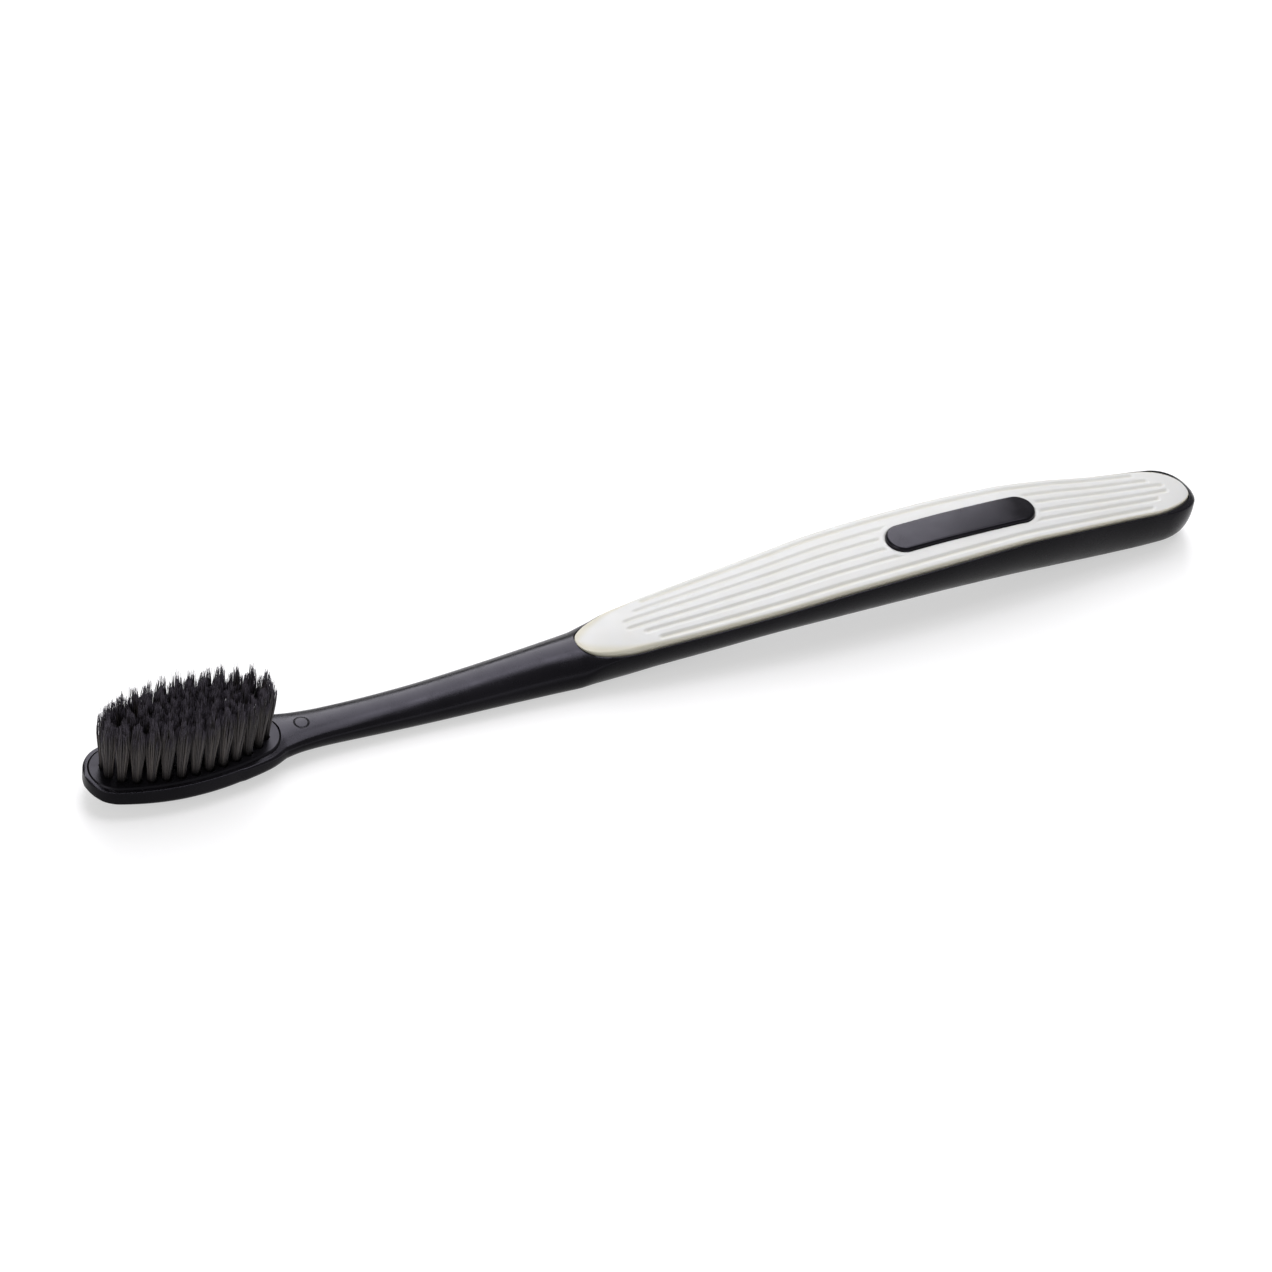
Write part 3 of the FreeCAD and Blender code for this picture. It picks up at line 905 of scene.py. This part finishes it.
@dataclass(frozen=True)
class FilamentFinish:
    """Charcoal tapered filaments, brown-grey, with painted shade: near black at the root and a bluish dark
    grey towards the tips.
    """

    name: str = "bristle_charcoal"
    # Painted shade: the root colour darkens each filament deep in the bundle.
    root: Colour = (0.006, 0.0055, 0.0065, 1.0)
    painted_root_shade_zone: tuple[float, float] = (0.06, 0.36)
    dark: Colour = (0.03, 0.0275, 0.03, 1.0)
    light: Colour = (0.1, 0.087, 0.081, 1.0)
    # Painted shade: the tip colour turns the filaments' upper ends a bluish dark grey.
    tip: Colour = (0.06, 0.053, 0.071, 1.0)
    painted_tip_shade_zone: tuple[float, float] = (0.78, 0.95)
    painted_tip_shade_share: float = 0.85
    streak_cells: float = 2600.0
    streak_zone: tuple[float, float] = (0.3, 0.7)
    roughness: tuple[float, float] = (0.38, 0.55)
    refraction: float = 1.5
    shine: float = 0.3

    def material(self) -> bpy.types.Material:
        """Build the material. Tone differs from one filament to the next, and reach runs up each.

        Returns:
            The finished material.
        """
        graph = Graph(self.name)
        reach = graph.stored("reach")
        body = graph.blend(graph.stored("tone"), self.dark, self.light)
        # Painted shade by reach: near black at the roots, bluish dark grey at the tips.
        body = graph.blend(graph.span(reach, *self.painted_root_shade_zone), self.root, body)
        body = graph.blend(graph.span(reach, *self.painted_tip_shade_zone, 0.0, self.painted_tip_shade_share), body, self.tip)
        streak = graph.noise(self.streak_cells, detail=1.0)
        rough = graph.span(streak, *self.streak_zone, *self.roughness)
        return graph.finish(
            Base_Color=body, Roughness=rough, IOR=self.refraction, Specular_IOR_Level=self.shine,
        )


# Pieces. Sizes are in millimetres.

@dataclass
class Core:
    """The black moulding: head with the plate's seat, neck, and body with the overmould's pocket."""

    form: HandleForm = field(default_factory=HandleForm)
    plate_gap: float = 0.06
    plate_seat_depth: float = 2.6
    seat_end_gap: float = 0.03
    pad_gap: float = 0.24
    pad_pocket_depth: float = 1.7
    ledge_width: float = 0.22
    ledge_run: float = 1.25
    ledge_skin: float = 0.01
    ledge_steps: tuple[float, ...] = (0.0, 0.7, 0.92)
    ledge_falls: tuple[float, ...] = (0.0, 0.04, 0.35)
    lip_radius: float = 0.1
    lip_lean: float = 0.35
    lip_steps: tuple[float, ...] = (0.0, 0.3, 0.75, 1.0, 1.0)
    lip_falls: tuple[float, ...] = (0.0, 0.35, 0.8, 1.6)
    floor_shares: tuple[float, ...] = (0.66, 0.33, 0.0)
    head_stations: int = 26
    long_stations: int = 240
    long_margin: float = 5.0
    bow_stations: int = 40
    stern_stations: int = 44
    tail_stations: int = 30
    side_steps: int = 9
    top_steps: int = 6
    back_side_steps: int = 12
    back_top_steps: int = 12
    flank_start: float = 0.05
    flank_end: float = 0.6
    crease_degrees: float = 38.0
    mark_offset: float = 2.9
    mark_floor: float = 4.6

    def stations(self) -> np.ndarray:
        """Places along X, close together where the toe, the plate, the overmould and the tail close up.

        Returns:
            Places from the toe to the tail.
        """
        form, steps = self.form, self.head_stations
        plate_reach = form.plate_length / 2 + self.plate_gap
        return spread(
            closing(form.toe_x, form.plate_end_radius + form.rim_width, steps),
            closing(form.plate_x - plate_reach, form.plate_end_radius, steps),
            closing(form.plate_x + plate_reach, -form.plate_end_radius, steps),
            form.plate_x + (plate_reach + self.seat_end_gap) * np.array([-1.0, 1.0]),
            np.linspace(form.toe_x + self.long_margin, form.tail_x - self.long_margin, self.long_stations),
            closing(form.pad_start_x, form.bow_length, self.bow_stations),
            closing(form.pad_end_x, -form.stern_length, self.stern_stations),
            closing(form.tail_x, -form.tail_round_length, self.tail_stations),
        )

    def opening(self, x: np.ndarray) -> np.ndarray:
        """Half width of the openings in the top: the plate's seat and the overmould's pocket.

        Args:
            x: Stations.

        Returns:
            Half widths, nothing where the top is closed.
        """
        form = self.form
        plate = form.oval_half(x, self.plate_gap)
        pad = np.where(x > form.neck_end_x, form.pad_half(x), 0.0)
        pad = np.where(pad > 0, pad + self.pad_gap, 0.0)
        return np.where(x < form.head_end_x, plate, pad)

    def skin(self, x: np.ndarray) -> np.ndarray:
        """Points of the outer skin: at each station, round the section from one opening edge to the other.

        The right half runs from the opening over the side to the lowest point: a narrow level ledge beside
        the overmould, a quarter oval above the widest level, an upright wall on the head, and a quarter oval
        below. The left half mirrors it. What lies below the floor is cut flat.

        Args:
            x: Stations.

        Returns:
            Array of stations by points by three.
        """
        form = self.form
        half, level, foot = form.half_width(x), form.level(x), form.wall_foot(x)
        rise = np.maximum(form.ledge(x) - level, LEAST_HALF)
        fall = np.maximum(foot - form.back(x), LEAST_HALF)
        edge = self.opening(x)
        on_pad = (x > form.neck_end_x) & (edge > 0)
        inner = np.minimum(edge + self.ledge_width * self.ledge_run, half - self.ledge_skin)
        inner = np.where(on_pad, inner, edge)
        upper = oval_quarter(half, rise, inner, self.side_steps, self.top_steps)
        lower = oval_quarter(half, fall, 0 * x, self.back_side_steps, self.back_top_steps)
        step_y = edge[:, None] + (inner - edge)[:, None] * np.array(self.ledge_steps)
        top_z = level + oval_height(half, rise, np.minimum(edge, half))
        fall_z = (top_z - level - upper[:, -1, 1])[:, None] * np.array(self.ledge_falls)
        right_y = np.concatenate([step_y, upper[:, ::-1, 0], lower[..., 0]], axis=1)
        right_z = np.concatenate([
            top_z[:, None] - fall_z, upper[:, ::-1, 1] + level[:, None], foot[:, None] - lower[..., 1],
        ], axis=1)
        y, z = mirrored(right_y, right_z)
        return section_points(x, y, np.maximum(z, 0.0))

    def pocket(self, x: np.ndarray, depth: float) -> np.ndarray:
        """Points of an opening's wall and floor: a small round lip, an upright wall and a flat floor.

        Args:
            x: Stations from one closed end of the opening to the other.
            depth: Depth of the floor under the edge.

        Returns:
            Array of stations by points by three.
        """
        edge = self.skin(x)[:, 0, :]
        y, z = edge[:, 1:2], edge[:, 2:3]
        inward = np.array(self.lip_steps) * self.lip_radius * self.lip_lean
        drop = np.array([*self.lip_falls, depth / self.lip_radius]) * self.lip_radius
        wall_y = np.maximum(y - inward, 0.0)
        floor_y = wall_y[:, -1:] * np.array(self.floor_shares)
        right_y = np.concatenate([wall_y, floor_y], axis=1)
        right_z = z - np.concatenate([drop, np.full(len(self.floor_shares), depth)])
        return section_points(x, *mirrored(right_y, right_z))

    def build(self) -> bpy.types.Object:
        """Join the skin, the plate's seat and the overmould's pocket into one closed mesh.

        Returns:
            The moulding's object.
        """
        x = self.stations()
        skin = self.skin(x)
        points, quads = [skin.reshape(-1, 3)], [grid_quads(*skin.shape[:2])]
        count = len(points[0])
        opening = self.opening(x)
        seat = (x < self.form.head_end_x, self.plate_seat_depth)
        pocket = (x > self.form.neck_end_x, self.pad_pocket_depth)
        for zone, depth in (seat, pocket):
            inside = np.nonzero(zone & (opening > 0))[0]
            grid = self.pocket(x[inside[0] - 1:inside[-1] + 2], depth)
            points.append(grid.reshape(-1, 3))
            quads.append(grid_quads(*grid.shape[:2]) + count)
            count += len(points[-1])
        points, quads = np.concatenate(points), np.concatenate(quads)
        piece = make_piece("handle_body", points, quads, self.crease_degrees)
        self.mark_flank(piece)
        return piece

    def dress(self, piece: bpy.types.Object) -> None:
        """Give the moulding its plastic, with the ring mark on the neck, and let it stand for the CAD core.

        Args:
            piece: The moulding's object.
        """
        mark = (self.form.head_end_x + self.mark_offset, self.mark_floor)
        finish = MouldedPlastic("core_plastic_black", flank="flank", mark=mark)
        settle(piece, Slot.CORE, finish.material(), "handle_core")

    def mark_flank(self, piece: bpy.types.Object) -> None:
        """Store how far each point of the skin turns away from upwards: 0 on top, 1 on the flanks and below.
        The plastic cuts its shine by it, as painted shade on the flanks.

        The value is 1 less the smooth step of the normal's upward part between the flank's start and end.

        Args:
            piece: The core's mesh object.
        """
        mesh = piece.data
        normals = np.empty(len(mesh.vertices) * 3, dtype=np.float32)
        mesh.vertices.foreach_get("normal", normals)
        store_value(mesh, "flank", 1 - ease(self.flank_start, self.flank_end, normals[2::3]))


@dataclass
class Island:
    """The raised label island, left bare: a stadium in plan, round at its upper edge, on the grip's crown."""

    form: HandleForm = field(default_factory=HandleForm)
    length: float = 26.0
    width: float = 5.8
    rise: float = 0.55
    edge_radius: float = 0.45
    from_tail: float = 42.6
    foot_depth: float = 1.2
    waist_drop: float = 0.8
    top_inset: float = 0.6
    edge_steps: int = 9
    top_steps: int = 9
    steps_round: int = 200
    slide_slope: float = 6.0
    gloss: float = 0.2
    crease_degrees: float = 50.0

    @property
    def centre_x(self) -> float:
        """X of the island's centre."""
        return self.form.tail_x - self.from_tail

    @property
    def reach(self) -> float:
        """Half length of the island's middle segment."""
        return (self.length - self.width) / 2

    def distance(self, x: np.ndarray, y: np.ndarray) -> np.ndarray:
        """Distance outside the island's outline: that from its middle segment, less its radius."""
        along = np.clip(np.abs(x - self.centre_x) - self.reach, 0.0, None)
        return np.hypot(along, y) - self.width / 2

    def ring(self, inset: float) -> np.ndarray:
        """Outline moved inwards, as points by (x, y): two half circles joined by straight runs.

        On the straight runs, the points slide along the middle segment by the cosine of their turn times
        the slide's slope.

        Args:
            inset: How far the outline is moved inwards.

        Returns:
            Array of points by two.
        """
        turns = np.linspace(-np.pi / 2, 1.5 * np.pi, self.steps_round, endpoint=False)
        slope = np.cos(turns) * self.slide_slope
        side = np.where(np.cos(turns) >= 0, 1.0, -1.0)
        radius = self.width / 2 - inset
        slide = np.where(np.abs(slope) < 1.0, self.reach * np.clip(slope, -1.0, 1.0), side * self.reach)
        return np.stack([self.centre_x + (slide + radius * np.cos(turns)), radius * np.sin(turns)], axis=1)

    def build(self) -> bpy.types.Object:
        """Build rings from the foot over the round edge to the middle segment.

        Each ring lies at its height on the crown, and a floor that runs to the middle segment closes the
        foot.

        Returns:
            The island's object.
        """
        turns = np.linspace(0, np.pi / 2, self.edge_steps)
        top = np.linspace(self.top_inset, self.width / 2, self.top_steps)
        insets = np.concatenate([[0.0, 0.0], self.edge_radius * (1 - np.cos(turns)), top])
        foot = [self.foot_depth + self.rise, self.waist_drop]
        drops = np.concatenate([foot, self.edge_radius * (1 - np.sin(turns)), np.zeros(self.top_steps)])
        rings = []
        for inset, drop in zip(insets, drops):
            plan = self.ring(inset)
            z = self.form.pad_top(plan[:, 0], plan[:, 1]) + self.rise - drop
            rings.append(np.column_stack([plan, z]))
        points = np.concatenate(rings)
        quads = grid_quads(len(rings), self.steps_round, loop=True)
        floor = rings[0].copy()
        floor[:, 1] = 0.0
        floor[:, 0] = np.clip(floor[:, 0], self.centre_x - self.reach, self.centre_x + self.reach)
        floor[:, 2] = self.form.pad_top(floor[:, 0], floor[:, 1]) - self.foot_depth
        base = len(points)
        points = np.concatenate([points, floor])
        step = np.arange(self.steps_round)
        after = (step + 1) % self.steps_round
        under = np.stack([base + step, base + after, after, step], axis=1)
        return make_piece("label_island", points, np.concatenate([quads, under]), self.crease_degrees)

    def dress(self, piece: bpy.types.Object) -> None:
        """Give the island its plastic. It stands for no node, as the CAD core holds it."""
        settle(piece, Slot.CORE, MouldedPlastic("island_plastic_black", gloss=self.gloss).material())


@dataclass
class Pad:
    """The off-white overmould: crowned top, round shoulders, six soft grooves, and a ditch at the island."""

    form: HandleForm = field(default_factory=HandleForm)
    island: Island = field(default_factory=Island)
    wall_depth: float = 1.3
    wall_top_depth: float = 0.3
    groove_width: float = 1.3
    groove_depth: float = 0.22
    groove_offsets: tuple[float, ...] = (0.165, 0.46, 0.79)
    groove_setbacks: tuple[float, ...] = (0.0, 2.28, 4.1)
    groove_end_out: float = 0.25
    groove_end_in: float = 0.55
    tip_setback: float = 8.3
    tail_setback: float = 3.9
    halo_width: float = 1.05
    halo_fade_in: float = 0.35
    halo_fade_out: float = 0.25
    ditch_depth: float = 0.22
    ditch_width: float = 0.24
    tuck_depth: float = 0.5
    tuck_width: float = 0.25
    long_stations: int = 430
    bow_margin: float = 2.5
    stern_margin: float = 3.0
    bow_stations: int = 40
    stern_stations: int = 44
    flat_share: float = 0.9
    shoulder_share: float = 0.1
    flat_steps: int = 56
    shoulder_steps: int = 11
    # Painted shade, warm-tinted, for the rubber's sides, shoulders and grooves.
    painted_shade_bow_length: float = 15.0
    painted_shade_side: tuple[float, float] = (0.05, 0.4)
    painted_shade_side_at_bow: tuple[float, float] = (0.35, 2.0)
    painted_shade_low: tuple[float, float] = (0.3, 1.1)
    painted_shade_groove: float = 0.3
    crease_degrees: float = 40.0

    def stations(self) -> np.ndarray:
        """Places along X, close together at the bow and the stern.

        Returns:
            Places from the bow to the stern.
        """
        form = self.form
        start, end = form.pad_start_x + self.bow_margin, form.pad_end_x - self.stern_margin
        return spread(
            closing(form.pad_start_x, form.bow_length, self.bow_stations),
            np.linspace(start, end, self.long_stations),
            closing(form.pad_end_x, -form.stern_length, self.stern_stations),
        )

    def groove_share(self, x: np.ndarray, y: np.ndarray) -> np.ndarray:
        """How much of a groove's depth is cut at a place.

        Across a groove it is half of one plus the cosine of the distance from its middle. Along it, both
        ends are eased. It fades to none in the halo round the island.

        Args:
            x: Places along X.
            y: Places across.

        Returns:
            Shares from 0 to 1.
        """
        outer, inner = self.groove_end_out, self.groove_end_in
        half = np.maximum(self.form.pad_half(x), LEAST_HALF)
        cut = np.zeros_like(y)
        for offset, setback in zip(self.groove_offsets, self.groove_setbacks):
            start = self.form.pad_start_x + self.tip_setback + setback
            end = self.form.pad_end_x - self.tail_setback - setback
            away = np.abs(np.abs(y) - offset * half) / (self.groove_width / 2)
            trough = 0.5 + 0.5 * np.cos(np.pi * np.clip(away, 0.0, 1.0))
            run = ease(start - outer, start + inner, x) * (1 - ease(end - inner, end + outer, x))
            cut = np.maximum(cut, trough * run)
        near, far = self.halo_width - self.halo_fade_in, self.halo_width + self.halo_fade_out
        return cut * ease(near, far, self.island.distance(x, y))

    def build(self) -> bpy.types.Object:
        """Build crown, walls and underside as one closed loop at each station.

        The crown is the plain one less the grooves and the ditch round the island. Its points lie even
        across the middle and close up by the sine towards the shoulders.

        Returns:
            The overmould's object.
        """
        x = self.stations()
        flat = np.linspace(0, self.flat_share, self.flat_steps)
        bend = np.sin(np.linspace(0, np.pi / 2, self.shoulder_steps))[1:]
        shoulder = self.flat_share + self.shoulder_share * bend
        right = np.concatenate([flat, shoulder])
        share = np.concatenate([-right[::-1], right[1:]])
        wide_x = np.broadcast_to(x[:, None], (len(x), len(share)))
        y = self.form.pad_half(x)[:, None] * share
        groove = self.groove_share(wide_x, y)
        island = self.island.distance(wide_x, y)
        ditch = self.ditch_depth * (1 - ease(0.0, self.ditch_width, island))
        tuck = self.tuck_depth * (1 - ease(-self.tuck_width, 0.0, island))
        z = self.form.pad_top(wide_x, y) - self.groove_depth * groove - (ditch + tuck)
        seam = self.form.seam(x)[:, None]
        edge = y[:, -1:]
        high, low = seam - self.wall_top_depth, seam - self.wall_depth
        y = np.concatenate([y, edge, edge, -edge, -edge], axis=1)
        z = np.concatenate([z, high, low, low, high], axis=1)
        points = section_points(x, y, z)
        quads = grid_quads(*points.shape[:2], loop=True)
        piece = make_piece("grip_pad", points.reshape(-1, 3), quads, self.crease_degrees)
        self.shade(piece)
        return piece

    def dress(self, piece: bpy.types.Object) -> None:
        """Give the overmould its rubber and let it stand for the CAD grip."""
        settle(piece, Slot.GRIP, SoftRubber().material(), "grip")

    def shade(self, piece: bpy.types.Object) -> None:
        """Store the painted shade of each point: deep in a groove, or low on the shoulder.

        It is the larger of two smooth steps, one by the distance in from the outline, which widens towards
        the bow, and one by the depth below the crown, plus a share of the groove.

        Args:
            piece: The overmould's object.
        """
        mesh = piece.data
        flat = np.empty(len(mesh.vertices) * 3)
        mesh.vertices.foreach_get("co", flat)
        place = flat.reshape(-1, 3) / MM
        x, y, z = place.T
        # Painted shade: darker down the sides, low on the shoulder and deep in the grooves.
        low = self.form.crown(x) - z
        bow = 1 - ease(0.0, self.painted_shade_bow_length, x - self.form.pad_start_x)
        inset = self.form.pad_half(x) - np.abs(y)
        (start, end), (start_more, end_more) = self.painted_shade_side, self.painted_shade_side_at_bow
        side = 1 - ease(start + start_more * bow, end + end_more * bow, inset)
        deep = self.painted_shade_groove * self.groove_share(x, y)
        store_value(mesh, "shade", np.clip(np.maximum(side, ease(*self.painted_shade_low, low)) + deep, 0.0, 1.0))


@dataclass
class Bristles:
    """The tufts: each CAD bundle becomes fine tapered filaments that fan out, then draw to ragged points."""

    form: HandleForm = field(default_factory=HandleForm)
    filaments: int = 140
    levels: int = 8
    corners: int = 4
    root_radius: float = 0.64
    root_scatter: float = 0.03
    filament_radius: float = 0.078
    taper_start: float = 0.6
    taper_loss: float = 0.7
    inset_share: float = 0.93
    root_depth: float = 1.2
    height: float = 12.35
    length_loss: float = 0.17
    swell: float = 0.88
    swell_end: float = 0.7
    gathering_points: int = 7
    gathering_turn: float = 2.4
    gathering_scatter: float = 0.3
    gathering_radii: tuple[float, float] = (0.08, 1.12)
    gathering_heights: tuple[float, float] = (1.03, 0.77)
    height_scatter: float = 0.04
    gathering_grow: float = 1.9
    target_scatter: float = 0.13
    draw: float = 0.75
    draw_zone: tuple[float, float] = (0.6, 1.05)
    wander: float = 0.16
    splay_degrees: float = 2.0
    belly_share: float = 0.45
    tone_spread: tuple[float, float] = (1.6, 2.2)
    seed: int = 7

    def tuft_nodes(self) -> list[str]:
        """Names of the CAD tufts."""
        return sorted(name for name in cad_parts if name.startswith("tuft_") and name != "tuft_backing")

    def root(self, node: str) -> tuple[float, float]:
        """Centre of a tuft where it leaves the plate, from its CAD box, which its splay widens to one side.

        The box's middle lies further out than the root by a share of the lean, so its distance from the
        plate's centre is divided by one plus that share over the plate's reach.

        Args:
            node: CAD tuft.

        Returns:
            The centre's X and Y.
        """
        low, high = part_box(node)
        reach_x, reach_y = self.form.plate_length / 2, self.form.plate_width / 2
        lean = np.tan(np.radians(self.splay_degrees)) * self.height
        mean_x, mean_y = (low.x + high.x) / 2 / MM, (low.y + high.y) / 2 / MM
        share = lean * self.belly_share
        offset_x = (mean_x - self.form.plate_x) / (1 + share / reach_x)
        return self.form.plate_x + offset_x, mean_y / (1 + share / reach_y) * self.inset_share

    def strands(self, centre: tuple[float, float], chance: np.random.Generator) -> np.ndarray:
        """Centre lines of one tuft's filaments.

        Roots lie on a sunflower spiral. On the way up the bundle first swells, then each filament is drawn
        to the nearest of a few gathering points, and the whole tuft leans away from the plate's centre. The
        draws of chance keep their order, so that the seed gives the same tufts.

        Args:
            centre: Tuft's centre on the plate.
            chance: Source of seeded chance.

        Returns:
            Array of filaments by levels by three.
        """
        count, gather = self.filaments, self.gathering_points
        place = np.arange(count) + 0.5
        radius = self.root_radius * np.sqrt(place / count)
        angle = place * np.pi * (3 - np.sqrt(5)) + chance.uniform(0, 2 * np.pi)
        root = np.stack([radius * np.cos(angle), radius * np.sin(angle)], axis=1)
        root += chance.normal(0, self.root_scatter, root.shape)
        turns = chance.uniform(0, 2 * np.pi) + np.arange(gather) * self.gathering_turn
        turns = turns + chance.normal(0, self.gathering_scatter, gather)
        reaches = np.linspace(*self.gathering_radii, gather)
        points = np.stack([np.cos(turns), np.sin(turns)], axis=1) * reaches[:, None]
        heights = np.linspace(*self.gathering_heights, gather)
        heights = heights - chance.uniform(0, self.height_scatter, gather)
        gaps = np.linalg.norm(root[:, None] * self.gathering_grow - points[None], axis=2)
        nearest = np.argmin(gaps, axis=1)
        target = points[nearest] + chance.normal(0, self.target_scatter, (count, 2))
        length = self.height * heights[nearest] * (1 - self.length_loss * chance.random(count) ** 2)
        t = np.linspace(0, 1, self.levels)
        rise = -self.root_depth + (length[:, None] + self.root_depth) * t
        up = np.clip(rise / self.height, 0.0, 1.0)[..., None]
        swell = 1 + self.swell * ease(0.0, self.swell_end, up)
        draw = self.draw * ease(*self.draw_zone, up)
        wander = chance.normal(0, self.wander, (count, 1, 2)) * up ** 2
        plan = root[:, None] * swell * (1 - draw) + target[:, None] * draw + wander
        slope = np.tan(np.radians(self.splay_degrees))
        form = self.form
        away_x = (centre[0] - form.plate_x) / (form.plate_length / 2)
        away = np.array([away_x, centre[1] / (form.plate_width / 2)])
        plan = plan + np.array(centre) + slope * away * np.clip(rise, 0.0, None)[..., None]
        return np.concatenate([plan, (form.rim_height + rise)[..., None]], axis=2)

    def build_tuft(self, node: str, number: int) -> bpy.types.Object:
        """Sweep a four-sided taper along every strand of a tuft and close both ends.

        Args:
            node: CAD tuft that the bundle stands for.
            number: The tuft's number, which seeds its chance.

        Returns:
            The new object.
        """
        chance = np.random.default_rng(self.seed + number)
        line = self.strands(self.root(node), chance)
        count, levels, corners = self.filaments, self.levels, self.corners
        t = np.linspace(0, 1, levels)
        thickness = self.filament_radius * (1 - self.taper_loss * ease(self.taper_start, 1.0, t))
        angle = np.arange(corners) * 2 * np.pi / corners + chance.uniform(0, np.pi, (count, 1))
        ring = np.stack([np.cos(angle), np.sin(angle), np.zeros_like(angle)], axis=2)
        points = line[:, :, None, :] + ring[:, None] * thickness[None, :, None, None]
        wall = grid_quads(levels, corners, loop=True)
        caps = np.array([np.arange(corners)[::-1], (levels - 1) * corners + np.arange(corners)])
        one = np.concatenate([wall, caps])
        quads = (one[None] + (np.arange(count) * levels * corners)[:, None, None]).reshape(-1, 4)
        mesh = new_mesh("bristles_%02d" % number, points.reshape(-1, 3) * MM, quads)
        mesh.shade_smooth()
        store_value(mesh, "tone", np.repeat(chance.beta(*self.tone_spread, count), levels * corners))
        store_value(mesh, "reach", np.tile(np.repeat(t, corners), count))
        return add_object(mesh.name, mesh)

    def build(self) -> None:
        """Build every tuft, dress it and let it stand for its CAD bundle."""
        material = FilamentFinish().material()
        for number, node in enumerate(self.tuft_nodes(), 1):
            settle(self.build_tuft(node, number), Slot.BRISTLE, material, node)


@dataclass(frozen=True)
class Carrier:
    """The head plate and the melted filament layer behind it: CAD nodes that are shown as they are."""

    plate: MouldedPlastic = MouldedPlastic("plate_plastic_black", gloss=0.34)
    backing: MouldedPlastic = MouldedPlastic("backing_plastic_charcoal", gloss=0.5)

    def dress(self) -> None:
        """Give the two nodes their finishes. Their meshes aren't touched."""
        for node, finish in (("head_plate", self.plate), ("tuft_backing", self.backing)):
            material = finish.material()
            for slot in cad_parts[node].material_slots:
                slot.material = material
            LOG.info("%s: CAD node kept and dressed", node)


# Studio. Sizes are in metres, but for the camera's target and distance, which are in millimetres.

@dataclass(frozen=True)
class Camera:
    """The photograph's camera in the CAD model's frame."""

    target: tuple[float, float, float] = (-3.4365, 0.0, 6.1015)
    azimuth_degrees: float = 29.383
    elevation_degrees: float = 44.020
    roll_degrees: float = 7.417
    distance: float = 984.0
    focal_share: float = 6310.0 / 1272.0
    sensor: float = 36.0
    clip: tuple[float, float] = (0.05, 20.0)

    def build(self) -> None:
        """Look along the azimuth and elevation at the target, turned by the roll about the view."""
        degrees = [self.azimuth_degrees, self.elevation_degrees, self.roll_degrees]
        azimuth, elevation, roll = np.radians(degrees)
        flat = np.cos(elevation)
        back = np.array([-np.sin(azimuth) * flat, -np.cos(azimuth) * flat, np.sin(elevation)])
        level = np.array([np.cos(azimuth), -np.sin(azimuth), 0.0])
        upright = np.cross(back, level)
        right = np.cos(roll) * level + np.sin(roll) * upright
        up = np.cos(roll) * upright - np.sin(roll) * level
        data = bpy.data.cameras.new("photo_view")
        data.sensor_width = self.sensor
        data.lens = self.focal_share * self.sensor
        data.clip_start, data.clip_end = self.clip
        camera = add_object("photo_view", data)
        turn = Matrix((right, up, back)).transposed().to_4x4()
        spot = (np.array(self.target) + back * self.distance) * MM
        camera.matrix_world = Matrix.Translation(Vector(spot)) @ turn
        bpy.context.scene.camera = camera


@dataclass(frozen=True)
class SoftBox:
    """A rectangular area light that points at the brush, with its power in watts."""

    name: str
    place: tuple[float, float, float]
    width: float
    height: float
    power: float
    colour: tuple[float, float, float]

    def build(self) -> None:
        """Add the light."""
        data = bpy.data.lights.new(self.name, "AREA")
        data.shape, data.energy, data.color = "RECTANGLE", self.power, self.colour
        data.size, data.size_y = self.width, self.height
        light = add_object(self.name, data)
        light.location = self.place
        light.rotation_euler = (-Vector(self.place)).to_track_quat("-Z", "Y").to_euler()


@dataclass(frozen=True)
class Studio:
    """A plain pale light table, an even pale surround and soft lights."""

    floor_reach: float = 4.0
    floor_gap: float = 0.00002
    floor_tone: float = 0.5
    floor_glow: float = 0.53
    floor_roughness: float = 0.9
    white: Colour = (1.0, 1.0, 1.0, 1.0)
    surround: float = 0.25
    boxes: tuple[SoftBox, ...] = (
        SoftBox("back", (0.24, 0.7, 1.02), 0.6, 1.9, 20.0, (0.975, 0.965, 1.0)),
        SoftBox("top", (0.58, -0.02, 1.5), 0.62, 0.72, 6.0, (0.975, 0.965, 1.0)),
        SoftBox("side", (-1.3, -0.5, 0.7), 0.8, 0.8, 6.0, (1.0, 0.985, 0.96)),
    )

    def build(self) -> None:
        """Add the floor, the surround and the lights."""
        corners = np.array([[-1, -1], [1, -1], [1, 1], [-1, 1]]) * self.floor_reach
        points = np.column_stack([corners, np.full(len(corners), -self.floor_gap)])
        mesh = new_mesh("floor", points, np.arange(len(corners))[None])
        floor = add_object("floor", mesh)
        tone = (self.floor_tone, self.floor_tone, self.floor_tone, 1.0)
        mesh.materials.append(Graph("floor_light_table").finish(
            Base_Color=tone, Roughness=self.floor_roughness, Emission_Color=self.white,
            Emission_Strength=self.floor_glow,
        ))
        world = bpy.data.worlds.new("surround")
        world.use_nodes = True
        shade = world.node_tree.nodes["Background"]
        shade.inputs["Color"].default_value = self.white
        shade.inputs["Strength"].default_value = self.surround
        bpy.context.scene.world = world
        bpy.context.scene.view_settings.view_transform = "Standard"
        for box in self.boxes:
            box.build()


def main() -> None:
    """Build the brush and its studio."""
    logging.basicConfig(level=logging.INFO, format="%(name)s: %(message)s")
    form = HandleForm()
    island = Island(form)
    for part in (Core(form), island, Pad(form, island)):
        part.dress(part.build())
    Bristles(form).build()
    Carrier().dress()
    Camera().build()
    Studio().build()


if __name__ == "__main__":
    main()
